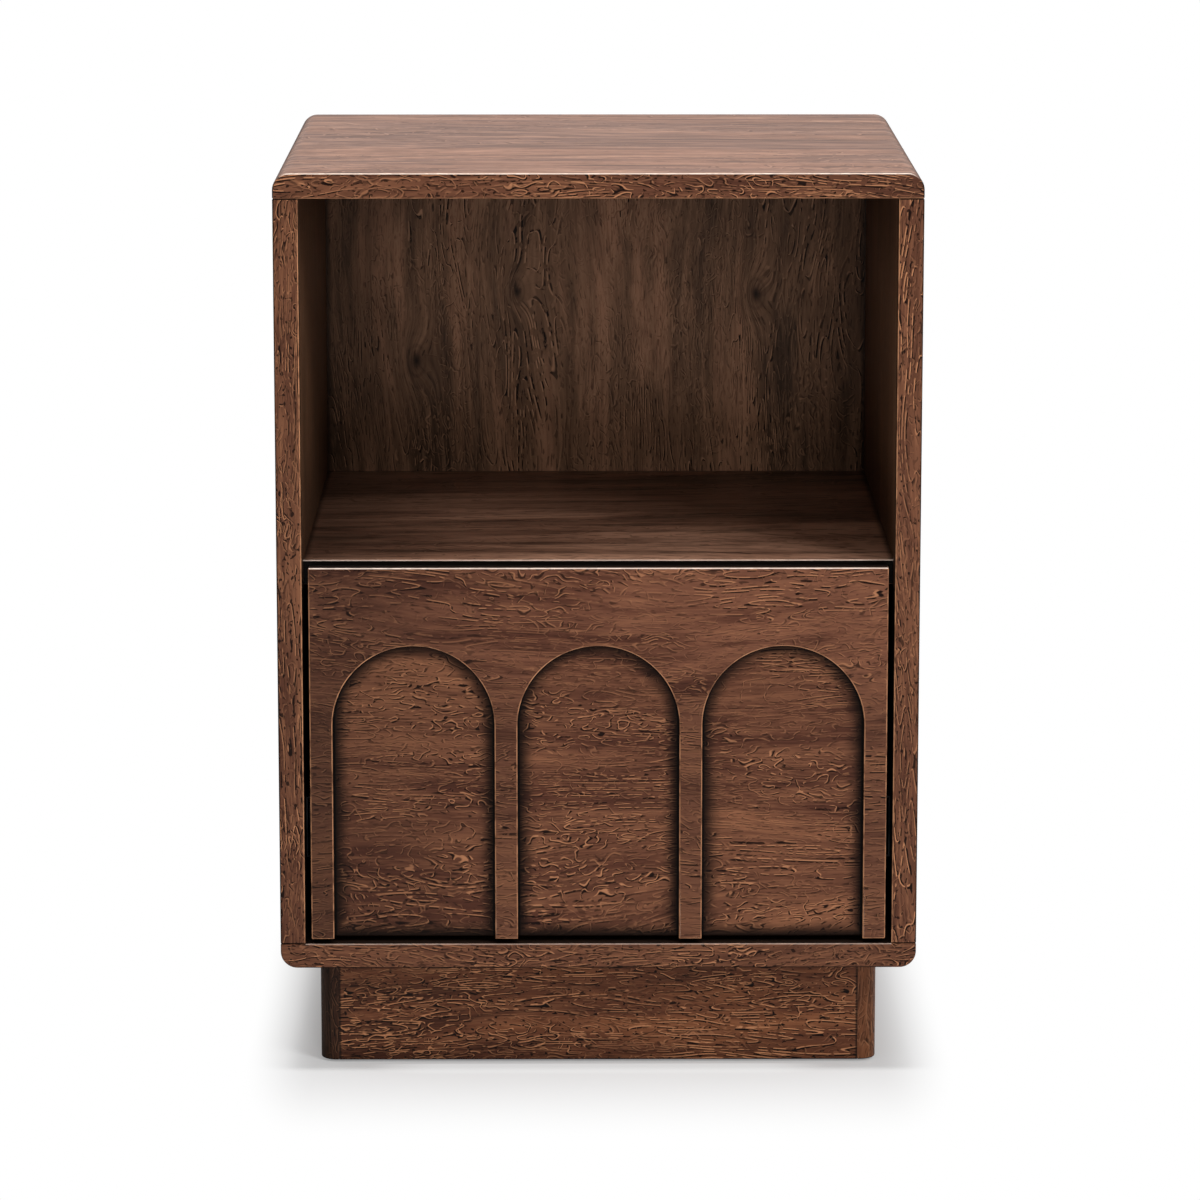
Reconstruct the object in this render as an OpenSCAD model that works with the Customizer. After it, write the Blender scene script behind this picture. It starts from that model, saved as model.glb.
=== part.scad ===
// Nightstand with an open compartment, one drawer behind an arched front, and a recessed plinth.
// Millimetres. X is the width, Y runs from the front (negative) to the rear, Z is the height.
// The origin is on the floor, under the middle of the carcass.

/* [Carcass] */
// Width over the side panels
overall_w = 460; // [420:1:520]
// Depth from the front edges to the rear edges
overall_d = 430; // [390:1:480]
// Height from the floor to the top surface
overall_h = 655; // [620:1:710]
// Thickness of the top, bottom and side panels
panel_t = 18; // [17:0.5:22]
// Radius of the four long outer edges
corner_r = 12; // [8:0.5:14]
// Rounding of the small edges
ease_r = 1.2; // [0.6:0.1:2]
// Thickness of the back panel
back_t = 6; // [4:0.5:8]
// Distance from the rear edges to the back panel
back_inset = 8; // [4:0.5:16]
// Depth of the groove round the back panel
back_groove = 6; // [4:0.5:8]

/* [Shelf] */
// Clear height of the open compartment above the shelf
open_h = 263; // [220:1:290]
// Thickness of the shelf
shelf_t = 18; // [16:0.5:22]
// Distance from the carcass front to the shelf's front edge
shelf_setback = 24; // [22:0.5:34]

/* [Plinth] */
// Height of the plinth with its glides
plinth_h = 78; // [60:1:95]
// Distance that the plinth stands back on each side
plinth_inset = 27; // [15:1:50]
// Thickness of the plinth boards and width of the corner posts
plinth_t = 13.5; // [12:0.5:18]
// Outer radius of the corner posts
post_r = 12; // [6:0.5:12]
// Side of the square blocks behind the posts
block_w = 26; // [22:1:34]
// Diameter of the floor glides
glide_d = 20; // [14:1:22]
// Thickness of the floor glides
glide_t = 1.5; // [1:0.5:4]
// Diameter of the pin that holds a glide
glide_pin_d = 3; // [2:0.5:5]
// Length of the pin that holds a glide
glide_pin_l = 12; // [8:1:20]

/* [Drawer front] */
// Gap between the drawer front and each side panel
front_side_gap = 4.5; // [2:0.5:5]
// Gap between the drawer front and the bottom panel
front_bottom_gap = 3.5; // [2:0.5:5]
// Distance from the shelf's surface down to the drawer front's upper edge
front_top_drop = 1.5; // [0.5:0.5:4]
// Thickness of the board behind the arches
base_t = 12; // [10:0.5:16]
// Thickness of the arched overlay
overlay_t = 8; // [5:0.5:10]
// Number of arches
arch_n = 3; // [2:1:4]
// Width of the stiles beside and between the arches
stile_w = 16.5; // [10:0.5:24]
// Height of the overlay above the arches
header_h = 57; // [40:1:80]
// Depth of the finger recess behind the upper edge
pull_depth = 8; // [6:0.5:8]
// Height of the finger recess
pull_h = 18; // [14:1:26]

/* [Drawer box] */
// Thickness of the drawer box walls
box_t = 12; // [11:0.5:15]
// Space between the bottom panel and the drawer box
box_floor_gap = 14; // [8:1:22]
// Space between the drawer box and the shelf
box_top_gap = 42; // [24:1:60]
// Space between the drawer box and the back panel
box_rear_gap = 26; // [10:1:50]
// Thickness of the drawer bottom
box_bottom_t = 6; // [4:0.5:8]
// Height of the drawer bottom above the lower edge of the walls
box_bottom_rise = 12; // [10:0.5:18]
// Depth of the groove round the drawer bottom
box_groove = 5; // [3:0.5:7]

/* [Slides] */
// Space for one slide between side panel and drawer box
slide_space = 13; // [13:0.1:14]
// Height of the cabinet rail
slide_h = 45; // [43:0.5:50]
// Height of the slide's centre line above the drawer box's lower edge
slide_rise = 66; // [50:1:90]
// Sheet thickness of the rails
sheet_t = 1.2; // [1:0.05:1.2]
// Radius of the bearing balls
ball_r = 1.6; // [1.4:0.05:1.6]
// Number of balls in each row of a cage
ball_n = 7; // [4:1:10]
// Sheet thickness of the ball cages
cage_t = 0.6; // [0.5:0.05:0.6]
// Distance from the side panel to the centres of the outer balls
outer_ball_x = 5.6; // [5.4:0.1:5.8]
// Distance from the side panel to the centres of the inner balls
inner_ball_x = 8.4; // [8.2:0.1:8.8]
// Distance that the rails keep from the ends of the drawer box
rail_inset = 10; // [4:0.5:14]
// Length of rail that stays engaged when the drawer is out
rail_hold = 15; // [5:1:30]
// Length of the rubber bumpers
bumper_l = 4.7; // [3:0.1:8]
// Height of the rubber bumpers
bumper_h = 12; // [6:1:18]

/* [Fixings] */
// Diameter of the carcass dowels
dowel_d = 8; // [6:0.5:8]
// Depth of a dowel in the face of a panel
dowel_face = 12; // [8:0.5:12]
// Depth of a dowel in the end of a board
dowel_end = 18; // [12:0.5:24]
// Distance from the ends of a joint to its first dowel
dowel_margin = 50; // [40:1:70]
// Number of dowels in each carcass joint
dowel_n = 3; // [2:1:5]
// Diameter of the drawer box dowels
box_dowel_d = 6; // [4:0.5:6]
// Depth of a drawer box dowel in the face of a wall
box_dowel_face = 8; // [5:0.5:8]
// Depth of a drawer box dowel in the end of a wall
box_dowel_end = 16; // [10:0.5:20]
// Distance from the edge of a drawer box wall to a dowel
box_dowel_margin = 35; // [30:1:60]
// Diameter of the plinth screws
plinth_screw_d = 4.5; // [3.5:0.5:5]
// Length of the plinth screws
plinth_screw_l = 45; // [35:1:55]
// Diameter of the screws in the drawer front
front_screw_d = 4; // [3.5:0.5:4.5]
// Depth of the drawer front screws in the base board
front_screw_bite = 9; // [6:0.5:9]
// Distance from the corners of the inner front to the drawer front screws
front_screw_margin = 55; // [40:1:80]
// Diameter of the rail screws
rail_screw_d = 3.5; // [3:0.25:4]
// Depth of the cabinet rail screws in the side panels
cabinet_bite = 14; // [10:0.5:15]
// Depth of the drawer rail screws in the drawer box
drawer_bite = 9; // [6:0.5:9]
// Number of screws in each rail
rail_screw_n = 3; // [2:1:4]
// Distance from the ends of a rail to its first screw
rail_screw_margin = 30; // [15:1:60]

/* [Clearances] */
// Clearance round dowels, screws and pins
fit_gap = 0.1; // [0.05:0.05:0.2]
// Spare depth at the ends of dowel holes and grooves
end_gap = 0.5; // [0.2:0.1:1]
// Clearance of the back panel and drawer bottom in their grooves
groove_gap = 0.1; // [0.05:0.05:0.3]
// Clearance between the parts of a slide
run_gap = 0.3; // [0.3:0.05:0.35]
// Clearance between the balls and their races
ball_gap = 0.15; // [0.1:0.05:0.15]

/* [Hidden] */
$fn = 64;

WALNUT = [0.36, 0.23, 0.17];
WALNUT_DARK = [0.28, 0.18, 0.13];
BOX_WOOD = [0.72, 0.56, 0.38];
BEECH = [0.80, 0.64, 0.44];
STEEL = [0.70, 0.72, 0.74];
BLACK_SHEET = [0.10, 0.10, 0.11];
ZINC = [0.78, 0.76, 0.66];
RUBBER = [0.12, 0.12, 0.12];

eps = 1;
side_pair = [-1, 1];

// Carcass
front_y = -overall_d / 2;
rear_y = overall_d / 2;
bay_w = overall_w - 2 * panel_t;
inner_x = bay_w / 2;
floor_z = plinth_h + panel_t;
ceiling_z = overall_h - panel_t;
side_mid_x = inner_x + panel_t / 2;
shelf_top_z = ceiling_z - open_h;
shelf_z = shelf_top_z - shelf_t;
shelf_y = front_y + shelf_setback;
back_y = rear_y - back_inset - back_t;

// Plinth
plinth_w = overall_w - 2 * plinth_inset;
plinth_d = overall_d - 2 * plinth_inset;
board_h = plinth_h - glide_t;
block_x = plinth_w / 2 - plinth_t - block_w / 2;
block_y = plinth_d / 2 - plinth_t - block_w / 2;

// Drawer front
front_t = base_t + overlay_t;
front_w = bay_w - 2 * front_side_gap;
front_z = floor_z + front_bottom_gap;
front_top_z = shelf_top_z - front_top_drop;
front_h = front_top_z - front_z;
arch_r = (front_w - (arch_n + 1) * stile_w) / arch_n / 2;
arch_pitch = 2 * arch_r + stile_w;
arch_spring_z = front_top_z - header_h - arch_r;

// Drawer box
box_y = front_y + front_t;
box_l = back_y - box_rear_gap - box_y;
box_rear_y = box_y + box_l;
box_w = bay_w - 2 * slide_space;
box_x = box_w / 2;
box_inner_x = box_x - box_t;
box_z = floor_z + box_floor_gap;
box_h = shelf_z - box_top_gap - box_z;
box_bottom_z = box_z + box_bottom_rise;

// Slides: x is measured from the side panel, z from the slide's centre line
slide_z = box_z + slide_rise;
rail_y = box_y + rail_inset;
rail_l = box_l - 2 * rail_inset;
moving_l = rail_l - bumper_l - run_gap;
travel = moving_l - rail_hold;
cage_l = moving_l - travel / 2 - 2 * rail_inset;
cage_y = rail_y + (moving_l - cage_l) / 2;
race_r = ball_r + ball_gap;
outer_ball_z = slide_h / 2 - sheet_t - race_r;
middle_flange_z = outer_ball_z - race_r - sheet_t;
inner_ball_z = middle_flange_z - race_r;
drawer_flange_z = inner_ball_z - race_r - sheet_t;
curl_gap = cage_t / 2 + run_gap;
cage_lip = ball_r + 0.8;
outer_cage_x = sheet_t + run_gap;
middle_web_x = outer_cage_x + cage_t + run_gap;
inner_cage_x = middle_web_x + sheet_t + run_gap;
drawer_web_x = slide_space - sheet_t;

// Prisms along the three axes, each centred on the origin
module prism_x(length) rotate([90, 0, 90]) linear_extrude(length, center = true) children();
module prism_y(length) rotate([90, 0, 0]) linear_extrude(length, center = true) children();
module prism_z(length) linear_extrude(length, center = true) children();

// Rectangle with rounded corners, centred
module soft_rect(w, h, r) {
    square([w - 2 * r, h], center = true);
    square([w, h - 2 * r], center = true);
    for (sx = side_pair, sy = side_pair)
        translate([sx * (w / 2 - r), sy * (h / 2 - r)]) circle(r);
}

// Board with all its edges eased, centred
module eased_board(w, d, h) {
    intersection() {
        prism_x(w) soft_rect(d, h, ease_r);
        prism_y(d) soft_rect(w, h, ease_r);
        prism_z(h) soft_rect(w, d, ease_r);
    }
}

// Board given by its low corner and size, square edges
module plain_board(low, size) translate(low) cube(size);

// Screw hanging down from its head at the origin; grow widens it into its own hole
module screw_body(d, l, grow = 0) {
    head_r = d;
    neck = head_r - d / 2;
    rotate_extrude()
        polygon([
            [0, grow], [head_r + grow, grow], [head_r + grow, 0], [d / 2 + grow, -neck],
            [d / 2 + grow, -l + d - grow], [0, -l - grow]
        ]);
}

module screw(d, l) {
    slot_w = d / 4;
    slot_l = d * 1.1;
    difference() {
        screw_body(d, l);
        for (turn = [0, 90])
            rotate([0, 0, turn]) cube([slot_l, slot_w, d * 0.6], center = true);
    }
}

// Turns a thing that hangs down the Z axis to point along +X or -X, or along -Y
module aim_x(s) rotate([0, -90 * s, 0]) children();
module aim_front() rotate([-90, 0, 0]) children();

// Positions spread evenly from a to b
function spread(a, b, n) = [for (i = [0 : n - 1]) a + (b - a) * i / (n - 1)];

dowel_ys = spread(front_y + dowel_margin, rear_y - dowel_margin, dowel_n);
shelf_dowel_ys = spread(shelf_y + dowel_margin, back_y - dowel_margin, dowel_n);
box_dowel_zs = [box_z + box_dowel_margin, box_z + box_h - box_dowel_margin];
rail_screw_ys = spread(rail_y + rail_screw_margin, rail_y + moving_l - rail_screw_margin, rail_screw_n);

// Panel with its two long outer edges rounded: inner face at z = 0, outer face up
module long_edge_panel() {
    core_w = overall_w - 2 * corner_r;
    lower_h = panel_t - corner_r;
    translate([0, 0, panel_t / 2]) prism_x(core_w) soft_rect(overall_d, panel_t, ease_r);
    intersection() {
        for (s = side_pair)
            translate([s * core_w / 2, 0, lower_h]) rotate([90, 0, 0]) rotate_extrude() intersection() {
                soft_rect(2 * corner_r, overall_d, ease_r);
                translate([0, -overall_d / 2]) square([corner_r, overall_d]);
            }
        plain_board([-overall_w / 2, front_y, lower_h], [overall_w, overall_d, corner_r]);
    }
    intersection() {
        translate([0, 0, lower_h / 2]) prism_z(lower_h) soft_rect(overall_w, overall_d, ease_r);
        translate([0, 0, panel_t / 2]) prism_x(overall_w) soft_rect(overall_d, panel_t, ease_r);
        translate([0, 0, panel_t / 2]) prism_y(overall_d) soft_rect(overall_w, panel_t, ease_r);
    }
}

// The groove ring that the back panel sits in
module back_groove_cut() {
    reach = back_groove + end_gap;
    plain_board(
        [-inner_x - reach, back_y - groove_gap, floor_z - reach],
        [bay_w + 2 * reach, back_t + 2 * groove_gap, ceiling_z - floor_z + 2 * reach]
    );
}

// Upright dowels at one joint plane, long end towards the sides
module joint_dowels(z, up, grow = 0, spare = 0) {
    for (s = side_pair, y = dowel_ys)
        translate([s * side_mid_x, y, z])
            rotate([up > 0 ? 0 : 180, 0, 0]) translate([0, 0, -dowel_end - spare])
                cylinder(h = dowel_end + dowel_face + 2 * spare, d = dowel_d + 2 * grow);
}

module dowel_row_shelf(grow = 0, spare = 0) {
    for (s = side_pair, y = shelf_dowel_ys)
        translate([s * (inner_x - dowel_end - spare), y, shelf_z + shelf_t / 2])
            rotate([0, 90 * s, 0]) cylinder(h = dowel_end + dowel_face + 2 * spare, d = dowel_d + 2 * grow);
}

module plinth_screw_places() {
    for (sx = side_pair, sy = side_pair) translate([sx * block_x, sy * block_y, floor_z]) children();
}

module cabinet_screw_places(s) {
    for (y = rail_screw_ys) translate([s * (inner_x - sheet_t), y, slide_z]) aim_x(s) children();
}

module drawer_screw_places(s) {
    for (y = rail_screw_ys) translate([s * (inner_x - drawer_web_x), y, slide_z]) aim_x(-s) children();
}

module top_panel() {
    color(WALNUT) difference() {
        translate([0, 0, ceiling_z]) long_edge_panel();
        back_groove_cut();
        joint_dowels(ceiling_z, 1, fit_gap, end_gap);
    }
}

module bottom_panel() {
    color(WALNUT) difference() {
        translate([0, 0, floor_z]) mirror([0, 0, 1]) long_edge_panel();
        back_groove_cut();
        joint_dowels(floor_z, -1, fit_gap, end_gap);
        plinth_screw_places() screw_body(plinth_screw_d, plinth_screw_l, fit_gap);
    }
}

module side_panel(s) {
    color(WALNUT) difference() {
        translate([s * side_mid_x, 0, (floor_z + ceiling_z) / 2])
            eased_board(panel_t, overall_d, ceiling_z - floor_z);
        back_groove_cut();
        joint_dowels(ceiling_z, 1, fit_gap, end_gap);
        joint_dowels(floor_z, -1, fit_gap, end_gap);
        dowel_row_shelf(fit_gap, end_gap);
        cabinet_screw_places(s) screw_body(rail_screw_d, cabinet_bite + sheet_t, fit_gap);
    }
}

module left_side() side_panel(-1);
module right_side() side_panel(1);

module shelf() {
    color(WALNUT) difference() {
        translate([0, (shelf_y + back_y) / 2, shelf_z + shelf_t / 2])
            prism_x(bay_w) soft_rect(back_y - shelf_y, shelf_t, ease_r);
        dowel_row_shelf(fit_gap, end_gap);
    }
}

module back_panel() {
    color(WALNUT_DARK) plain_board(
        [-inner_x - back_groove, back_y, floor_z - back_groove],
        [bay_w + 2 * back_groove, back_t, ceiling_z - floor_z + 2 * back_groove]
    );
}

// Plinth board between two posts, at the front or rear
module cross_board(s) {
    color(WALNUT) translate([0, s * (plinth_d - plinth_t) / 2, glide_t + board_h / 2])
        prism_x(plinth_w - 2 * plinth_t) soft_rect(plinth_t, board_h, ease_r);
}

// Plinth board between two posts, at the left or right
module flank_board(s) {
    color(WALNUT) translate([s * (plinth_w - plinth_t) / 2, 0, glide_t + board_h / 2])
        prism_y(plinth_d - 2 * plinth_t) soft_rect(plinth_t, board_h, ease_r);
}

module plinth_front_board() cross_board(-1);
module plinth_rear_board() cross_board(1);
module plinth_left_board() flank_board(-1);
module plinth_right_board() flank_board(1);

// Corner post with a rounded outer corner and an eased foot
module post(sx, sy) {
    color(WALNUT_DARK) translate([sx * plinth_w / 2, sy * plinth_d / 2, glide_t])
        mirror([sx > 0 ? 1 : 0, 0, 0]) mirror([0, sy > 0 ? 1 : 0, 0]) {
            translate([post_r, post_r, 0]) intersection() {
                rotate_extrude() {
                    translate([0, ease_r]) square([post_r, board_h - ease_r]);
                    square([post_r - ease_r, board_h]);
                    translate([post_r - ease_r, ease_r]) circle(ease_r);
                }
                translate([-post_r, -post_r, 0]) cube([post_r, post_r, board_h]);
            }
            translate([plinth_t / 2, plinth_t / 2, 0]) difference() {
                translate([0, 0, board_h / 2]) intersection() {
                    prism_x(plinth_t) soft_rect(plinth_t, board_h, ease_r);
                    prism_y(plinth_t) soft_rect(plinth_t, board_h, ease_r);
                }
                translate([-plinth_t / 2 - eps, -plinth_t / 2 - eps, -eps])
                    cube([post_r + eps, post_r + eps, board_h + 2 * eps]);
            }
        }
}

module front_left_post() post(-1, -1);
module front_right_post() post(1, -1);
module rear_left_post() post(-1, 1);
module rear_right_post() post(1, 1);

// Blocks glued into the plinth corners, drilled for the screws and the glide pins
module plinth_blocks() {
    color(BEECH) difference() {
        for (sx = side_pair, sy = side_pair)
            translate([sx * block_x, sy * block_y, glide_t + board_h / 2])
                cube([block_w, block_w, board_h], center = true);
        plinth_screw_places() screw_body(plinth_screw_d, plinth_screw_l, fit_gap);
        for (sx = side_pair, sy = side_pair)
            translate([sx * block_x, sy * block_y, 0])
                cylinder(h = glide_t + glide_pin_l + end_gap, d = glide_pin_d + 2 * fit_gap);
    }
}

module floor_glides() {
    color(RUBBER) for (sx = side_pair, sy = side_pair) translate([sx * block_x, sy * block_y, 0]) {
        cylinder(h = glide_t, d = glide_d);
        cylinder(h = glide_t + glide_pin_l, d = glide_pin_d);
    }
}

module plinth_screws() {
    color(ZINC) plinth_screw_places() screw(plinth_screw_d, plinth_screw_l);
}

module top_dowels() {
    color(BEECH) joint_dowels(ceiling_z, 1);
}

module bottom_dowels() {
    color(BEECH) joint_dowels(floor_z, -1);
}

module shelf_dowels() {
    color(BEECH) dowel_row_shelf();
}

// Section from the arch's centre line outwards: the opening and its eased front edge
module arch_section() {
    translate([0, -eps]) square([arch_r, overlay_t + 2 * eps]);
    translate([0, -eps]) square([arch_r + ease_r, eps]);
    difference() {
        square([arch_r + ease_r, ease_r]);
        translate([arch_r + ease_r, ease_r]) circle(ease_r);
    }
}

module arch_cut() {
    leg_h = arch_spring_z - front_z + eps;
    rotate([-90, 0, 0]) rotate_extrude($fn = 128) arch_section();
    translate([0, 0, -leg_h]) linear_extrude(leg_h) {
        arch_section();
        mirror([1, 0]) arch_section();
    }
}

module drawer_arch_overlay() {
    color(WALNUT) difference() {
        translate([0, front_y + overlay_t / 2, front_z + front_h / 2])
            eased_board(front_w, overlay_t, front_h);
        for (i = [0 : arch_n - 1])
            translate([(i - (arch_n - 1) / 2) * arch_pitch, front_y, arch_spring_z]) arch_cut();
    }
}

module front_screw_places() {
    for (sx = side_pair, z = [box_z + front_screw_margin, box_z + box_h - front_screw_margin])
        translate([sx * (box_inner_x - front_screw_margin), box_y + box_t, z]) aim_front() children();
}

// Base board of the drawer front, with the finger recess along its upper rear edge
module drawer_front_base() {
    color(WALNUT) difference() {
        translate([0, box_y - base_t / 2, front_z + front_h / 2]) eased_board(front_w, base_t, front_h);
        translate([0, box_y, front_top_z - pull_h + pull_depth]) {
            rotate([0, 90, 0]) cylinder(h = front_w + 2 * eps, r = pull_depth, center = true);
            translate([0, 0, pull_h / 2]) cube([front_w + 2 * eps, 2 * pull_depth, pull_h], center = true);
        }
        front_screw_places() screw_body(front_screw_d, box_t + front_screw_bite, fit_gap);
    }
}

// Groove ring that the drawer bottom sits in
module bottom_groove_cut() {
    reach = box_groove + end_gap;
    plain_board(
        [-box_inner_x - reach, box_y + box_t - reach, box_bottom_z - groove_gap],
        [2 * (box_inner_x + reach), box_l - 2 * box_t + 2 * reach, box_bottom_t + 2 * groove_gap]
    );
}

module box_dowel_row(grow = 0, spare = 0) {
    for (s = side_pair, y = [box_y + box_t / 2, box_rear_y - box_t / 2], z = box_dowel_zs)
        translate([s * (box_inner_x - box_dowel_end - spare), y, z]) rotate([0, 90 * s, 0])
            cylinder(h = box_dowel_end + box_dowel_face + 2 * spare, d = box_dowel_d + 2 * grow);
}

module drawer_wall(s) {
    color(BOX_WOOD) difference() {
        translate([s * (box_x - box_t / 2), (box_y + box_rear_y) / 2, box_z + box_h / 2])
            prism_y(box_l) soft_rect(box_t, box_h, ease_r);
        bottom_groove_cut();
        box_dowel_row(fit_gap, end_gap);
        drawer_screw_places(s) screw_body(rail_screw_d, drawer_bite + sheet_t, fit_gap);
    }
}

module drawer_left_wall() drawer_wall(-1);
module drawer_right_wall() drawer_wall(1);

module cross_wall(y) {
    translate([0, y + box_t / 2, box_z + box_h / 2])
        prism_x(2 * box_inner_x) soft_rect(box_t, box_h, ease_r);
}

module drawer_inner_front() {
    color(BOX_WOOD) difference() {
        cross_wall(box_y);
        bottom_groove_cut();
        box_dowel_row(fit_gap, end_gap);
        front_screw_places() screw_body(front_screw_d, box_t + front_screw_bite, fit_gap);
    }
}

module drawer_rear_wall() {
    color(BOX_WOOD) difference() {
        cross_wall(box_rear_y - box_t);
        bottom_groove_cut();
        box_dowel_row(fit_gap, end_gap);
    }
}

module drawer_bottom() {
    color(BOX_WOOD) plain_board(
        [-box_inner_x - box_groove, box_y + box_t - box_groove, box_bottom_z],
        [2 * (box_inner_x + box_groove), box_l - 2 * box_t + 2 * box_groove, box_bottom_t]
    );
}

module drawer_dowels() {
    color(BEECH) box_dowel_row();
}

module drawer_front_screws() {
    color(ZINC) front_screw_places() screw(front_screw_d, box_t + front_screw_bite);
}

// Quarter of a rolled edge round a ball, in the direction sx, sz from the ball's centre
module curl(sx, sz) {
    reach = race_r + sheet_t;
    intersection() {
        difference() {
            circle(reach);
            circle(race_r);
        }
        translate([sx > 0 ? 0 : -reach, sz > 0 ? curl_gap : -reach]) square([reach, reach - curl_gap]);
    }
}

// Sections of the rails: x from the side panel, y from the centre line; one half, then mirrored
module both_halves() {
    children();
    mirror([0, 1]) children();
}

module cabinet_section() {
    both_halves() {
        square([sheet_t, slide_h / 2]);
        translate([0, slide_h / 2 - sheet_t]) square([outer_ball_x, sheet_t]);
        translate([outer_ball_x, outer_ball_z]) curl(1, 1);
    }
}

module middle_section() {
    both_halves() {
        translate([middle_web_x, 0]) square([sheet_t, middle_flange_z + sheet_t]);
        translate([middle_web_x, middle_flange_z]) square([inner_ball_x - middle_web_x, sheet_t]);
        translate([outer_ball_x, outer_ball_z]) curl(-1, -1);
        translate([inner_ball_x, inner_ball_z]) curl(1, 1);
    }
}

module drawer_section() {
    both_halves() {
        translate([drawer_web_x, 0]) square([sheet_t, drawer_flange_z + sheet_t]);
        translate([inner_ball_x, drawer_flange_z]) square([slide_space - inner_ball_x, sheet_t]);
        translate([inner_ball_x, inner_ball_z]) curl(-1, -1);
    }
}

// Cage section: a web and two lips that carry the balls
module cage_section(web_x, ball_x, ball_z) {
    both_halves() {
        translate([web_x, 0]) square([cage_t, ball_z + cage_t / 2]);
        translate([web_x, ball_z - cage_t / 2]) square([ball_x + cage_lip - web_x, cage_t]);
    }
}

// Puts a slide section on its side of the carcass, from y to y + length
module run_section(s, y, length) {
    mirror([s > 0 ? 1 : 0, 0, 0]) translate([-inner_x, y, slide_z])
        rotate([90, 0, 0]) translate([0, 0, -length]) linear_extrude(length) children();
}

// Places for the balls of one cage
module ball_places(s, ball_x, ball_z) {
    first_y = cage_y + cage_l / ball_n / 2;
    for (i = [0 : ball_n - 1], sz = side_pair)
        translate([s * (inner_x - ball_x), first_y + i * cage_l / ball_n, slide_z + sz * ball_z]) children();
}

module cage(s, web_x, ball_x, ball_z) {
    color(BLACK_SHEET) difference() {
        run_section(s, cage_y, cage_l) cage_section(web_x, ball_x, ball_z);
        ball_places(s, ball_x, ball_z) cylinder(h = 2 * cage_t, r = ball_r + fit_gap, center = true);
    }
}

module cabinet_rail(s) {
    color(BLACK_SHEET) difference() {
        run_section(s, rail_y, rail_l) cabinet_section();
        cabinet_screw_places(s) screw_body(rail_screw_d, cabinet_bite + sheet_t, fit_gap);
    }
}

module middle_rail(s) {
    color(BLACK_SHEET) run_section(s, rail_y, moving_l) middle_section();
}

module drawer_rail(s) {
    color(BLACK_SHEET) difference() {
        run_section(s, rail_y, moving_l) drawer_section();
        drawer_screw_places(s) screw_body(rail_screw_d, drawer_bite + sheet_t, fit_gap);
    }
}

module left_cabinet_rail() cabinet_rail(-1);
module right_cabinet_rail() cabinet_rail(1);
module left_middle_rail() middle_rail(-1);
module right_middle_rail() middle_rail(1);
module left_drawer_rail() drawer_rail(-1);
module right_drawer_rail() drawer_rail(1);
module left_outer_cage() cage(-1, outer_cage_x, outer_ball_x, outer_ball_z);
module right_outer_cage() cage(1, outer_cage_x, outer_ball_x, outer_ball_z);
module left_inner_cage() cage(-1, inner_cage_x, inner_ball_x, inner_ball_z);
module right_inner_cage() cage(1, inner_cage_x, inner_ball_x, inner_ball_z);

module left_outer_balls() color(STEEL) ball_places(-1, outer_ball_x, outer_ball_z) sphere(ball_r);
module right_outer_balls() color(STEEL) ball_places(1, outer_ball_x, outer_ball_z) sphere(ball_r);
module left_inner_balls() color(STEEL) ball_places(-1, inner_ball_x, inner_ball_z) sphere(ball_r);
module right_inner_balls() color(STEEL) ball_places(1, inner_ball_x, inner_ball_z) sphere(ball_r);

// Bumpers on the webs of the cabinet rails, behind the moving rails
module rail_bumpers() {
    color(RUBBER) for (s = side_pair)
        translate([s * (inner_x - (sheet_t + inner_ball_x) / 2), rail_y + rail_l - bumper_l / 2, slide_z])
            cube([inner_ball_x - sheet_t, bumper_l, bumper_h], center = true);
}

module cabinet_rail_screws() {
    color(ZINC) for (s = side_pair) cabinet_screw_places(s) screw(rail_screw_d, cabinet_bite + sheet_t);
}

module drawer_rail_screws() {
    color(ZINC) for (s = side_pair) drawer_screw_places(s) screw(rail_screw_d, drawer_bite + sheet_t);
}

top_panel();
bottom_panel();
left_side();
right_side();
shelf();
back_panel();
plinth_front_board();
plinth_rear_board();
plinth_left_board();
plinth_right_board();
front_left_post();
front_right_post();
rear_left_post();
rear_right_post();
plinth_blocks();
floor_glides();
plinth_screws();
top_dowels();
bottom_dowels();
shelf_dowels();
drawer_front_base();
drawer_arch_overlay();
drawer_left_wall();
drawer_right_wall();
drawer_inner_front();
drawer_rear_wall();
drawer_bottom();
drawer_dowels();
drawer_front_screws();
left_cabinet_rail();
right_cabinet_rail();
left_middle_rail();
right_middle_rail();
left_drawer_rail();
right_drawer_rail();
left_outer_cage();
right_outer_cage();
left_inner_cage();
right_inner_cage();
left_outer_balls();
right_outer_balls();
left_inner_balls();
right_inner_balls();
rail_bumpers();
cabinet_rail_screws();
drawer_rail_screws();
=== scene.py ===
import math

import bmesh
import bpy
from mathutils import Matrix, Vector


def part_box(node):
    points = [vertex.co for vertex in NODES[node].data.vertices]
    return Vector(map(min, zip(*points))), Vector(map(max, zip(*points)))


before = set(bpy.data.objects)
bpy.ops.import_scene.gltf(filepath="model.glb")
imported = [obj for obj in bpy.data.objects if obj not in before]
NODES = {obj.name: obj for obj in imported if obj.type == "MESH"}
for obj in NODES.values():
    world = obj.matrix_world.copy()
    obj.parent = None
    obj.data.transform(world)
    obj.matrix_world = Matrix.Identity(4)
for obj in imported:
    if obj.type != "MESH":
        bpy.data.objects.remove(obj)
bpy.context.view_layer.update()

# Camera: its place in metres, lens and sensor in millimetres, pitch and turn in degrees. It looks square on
# to the front, from a little above the top.
CAMERA_PLACE = (-0.0170, -3.9084, 1.0537)
CAMERA_LENS = 157.807
SENSOR_WIDTH = 36.0
CAMERA_PITCH = 10.799
CAMERA_TURN = 0.281

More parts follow.
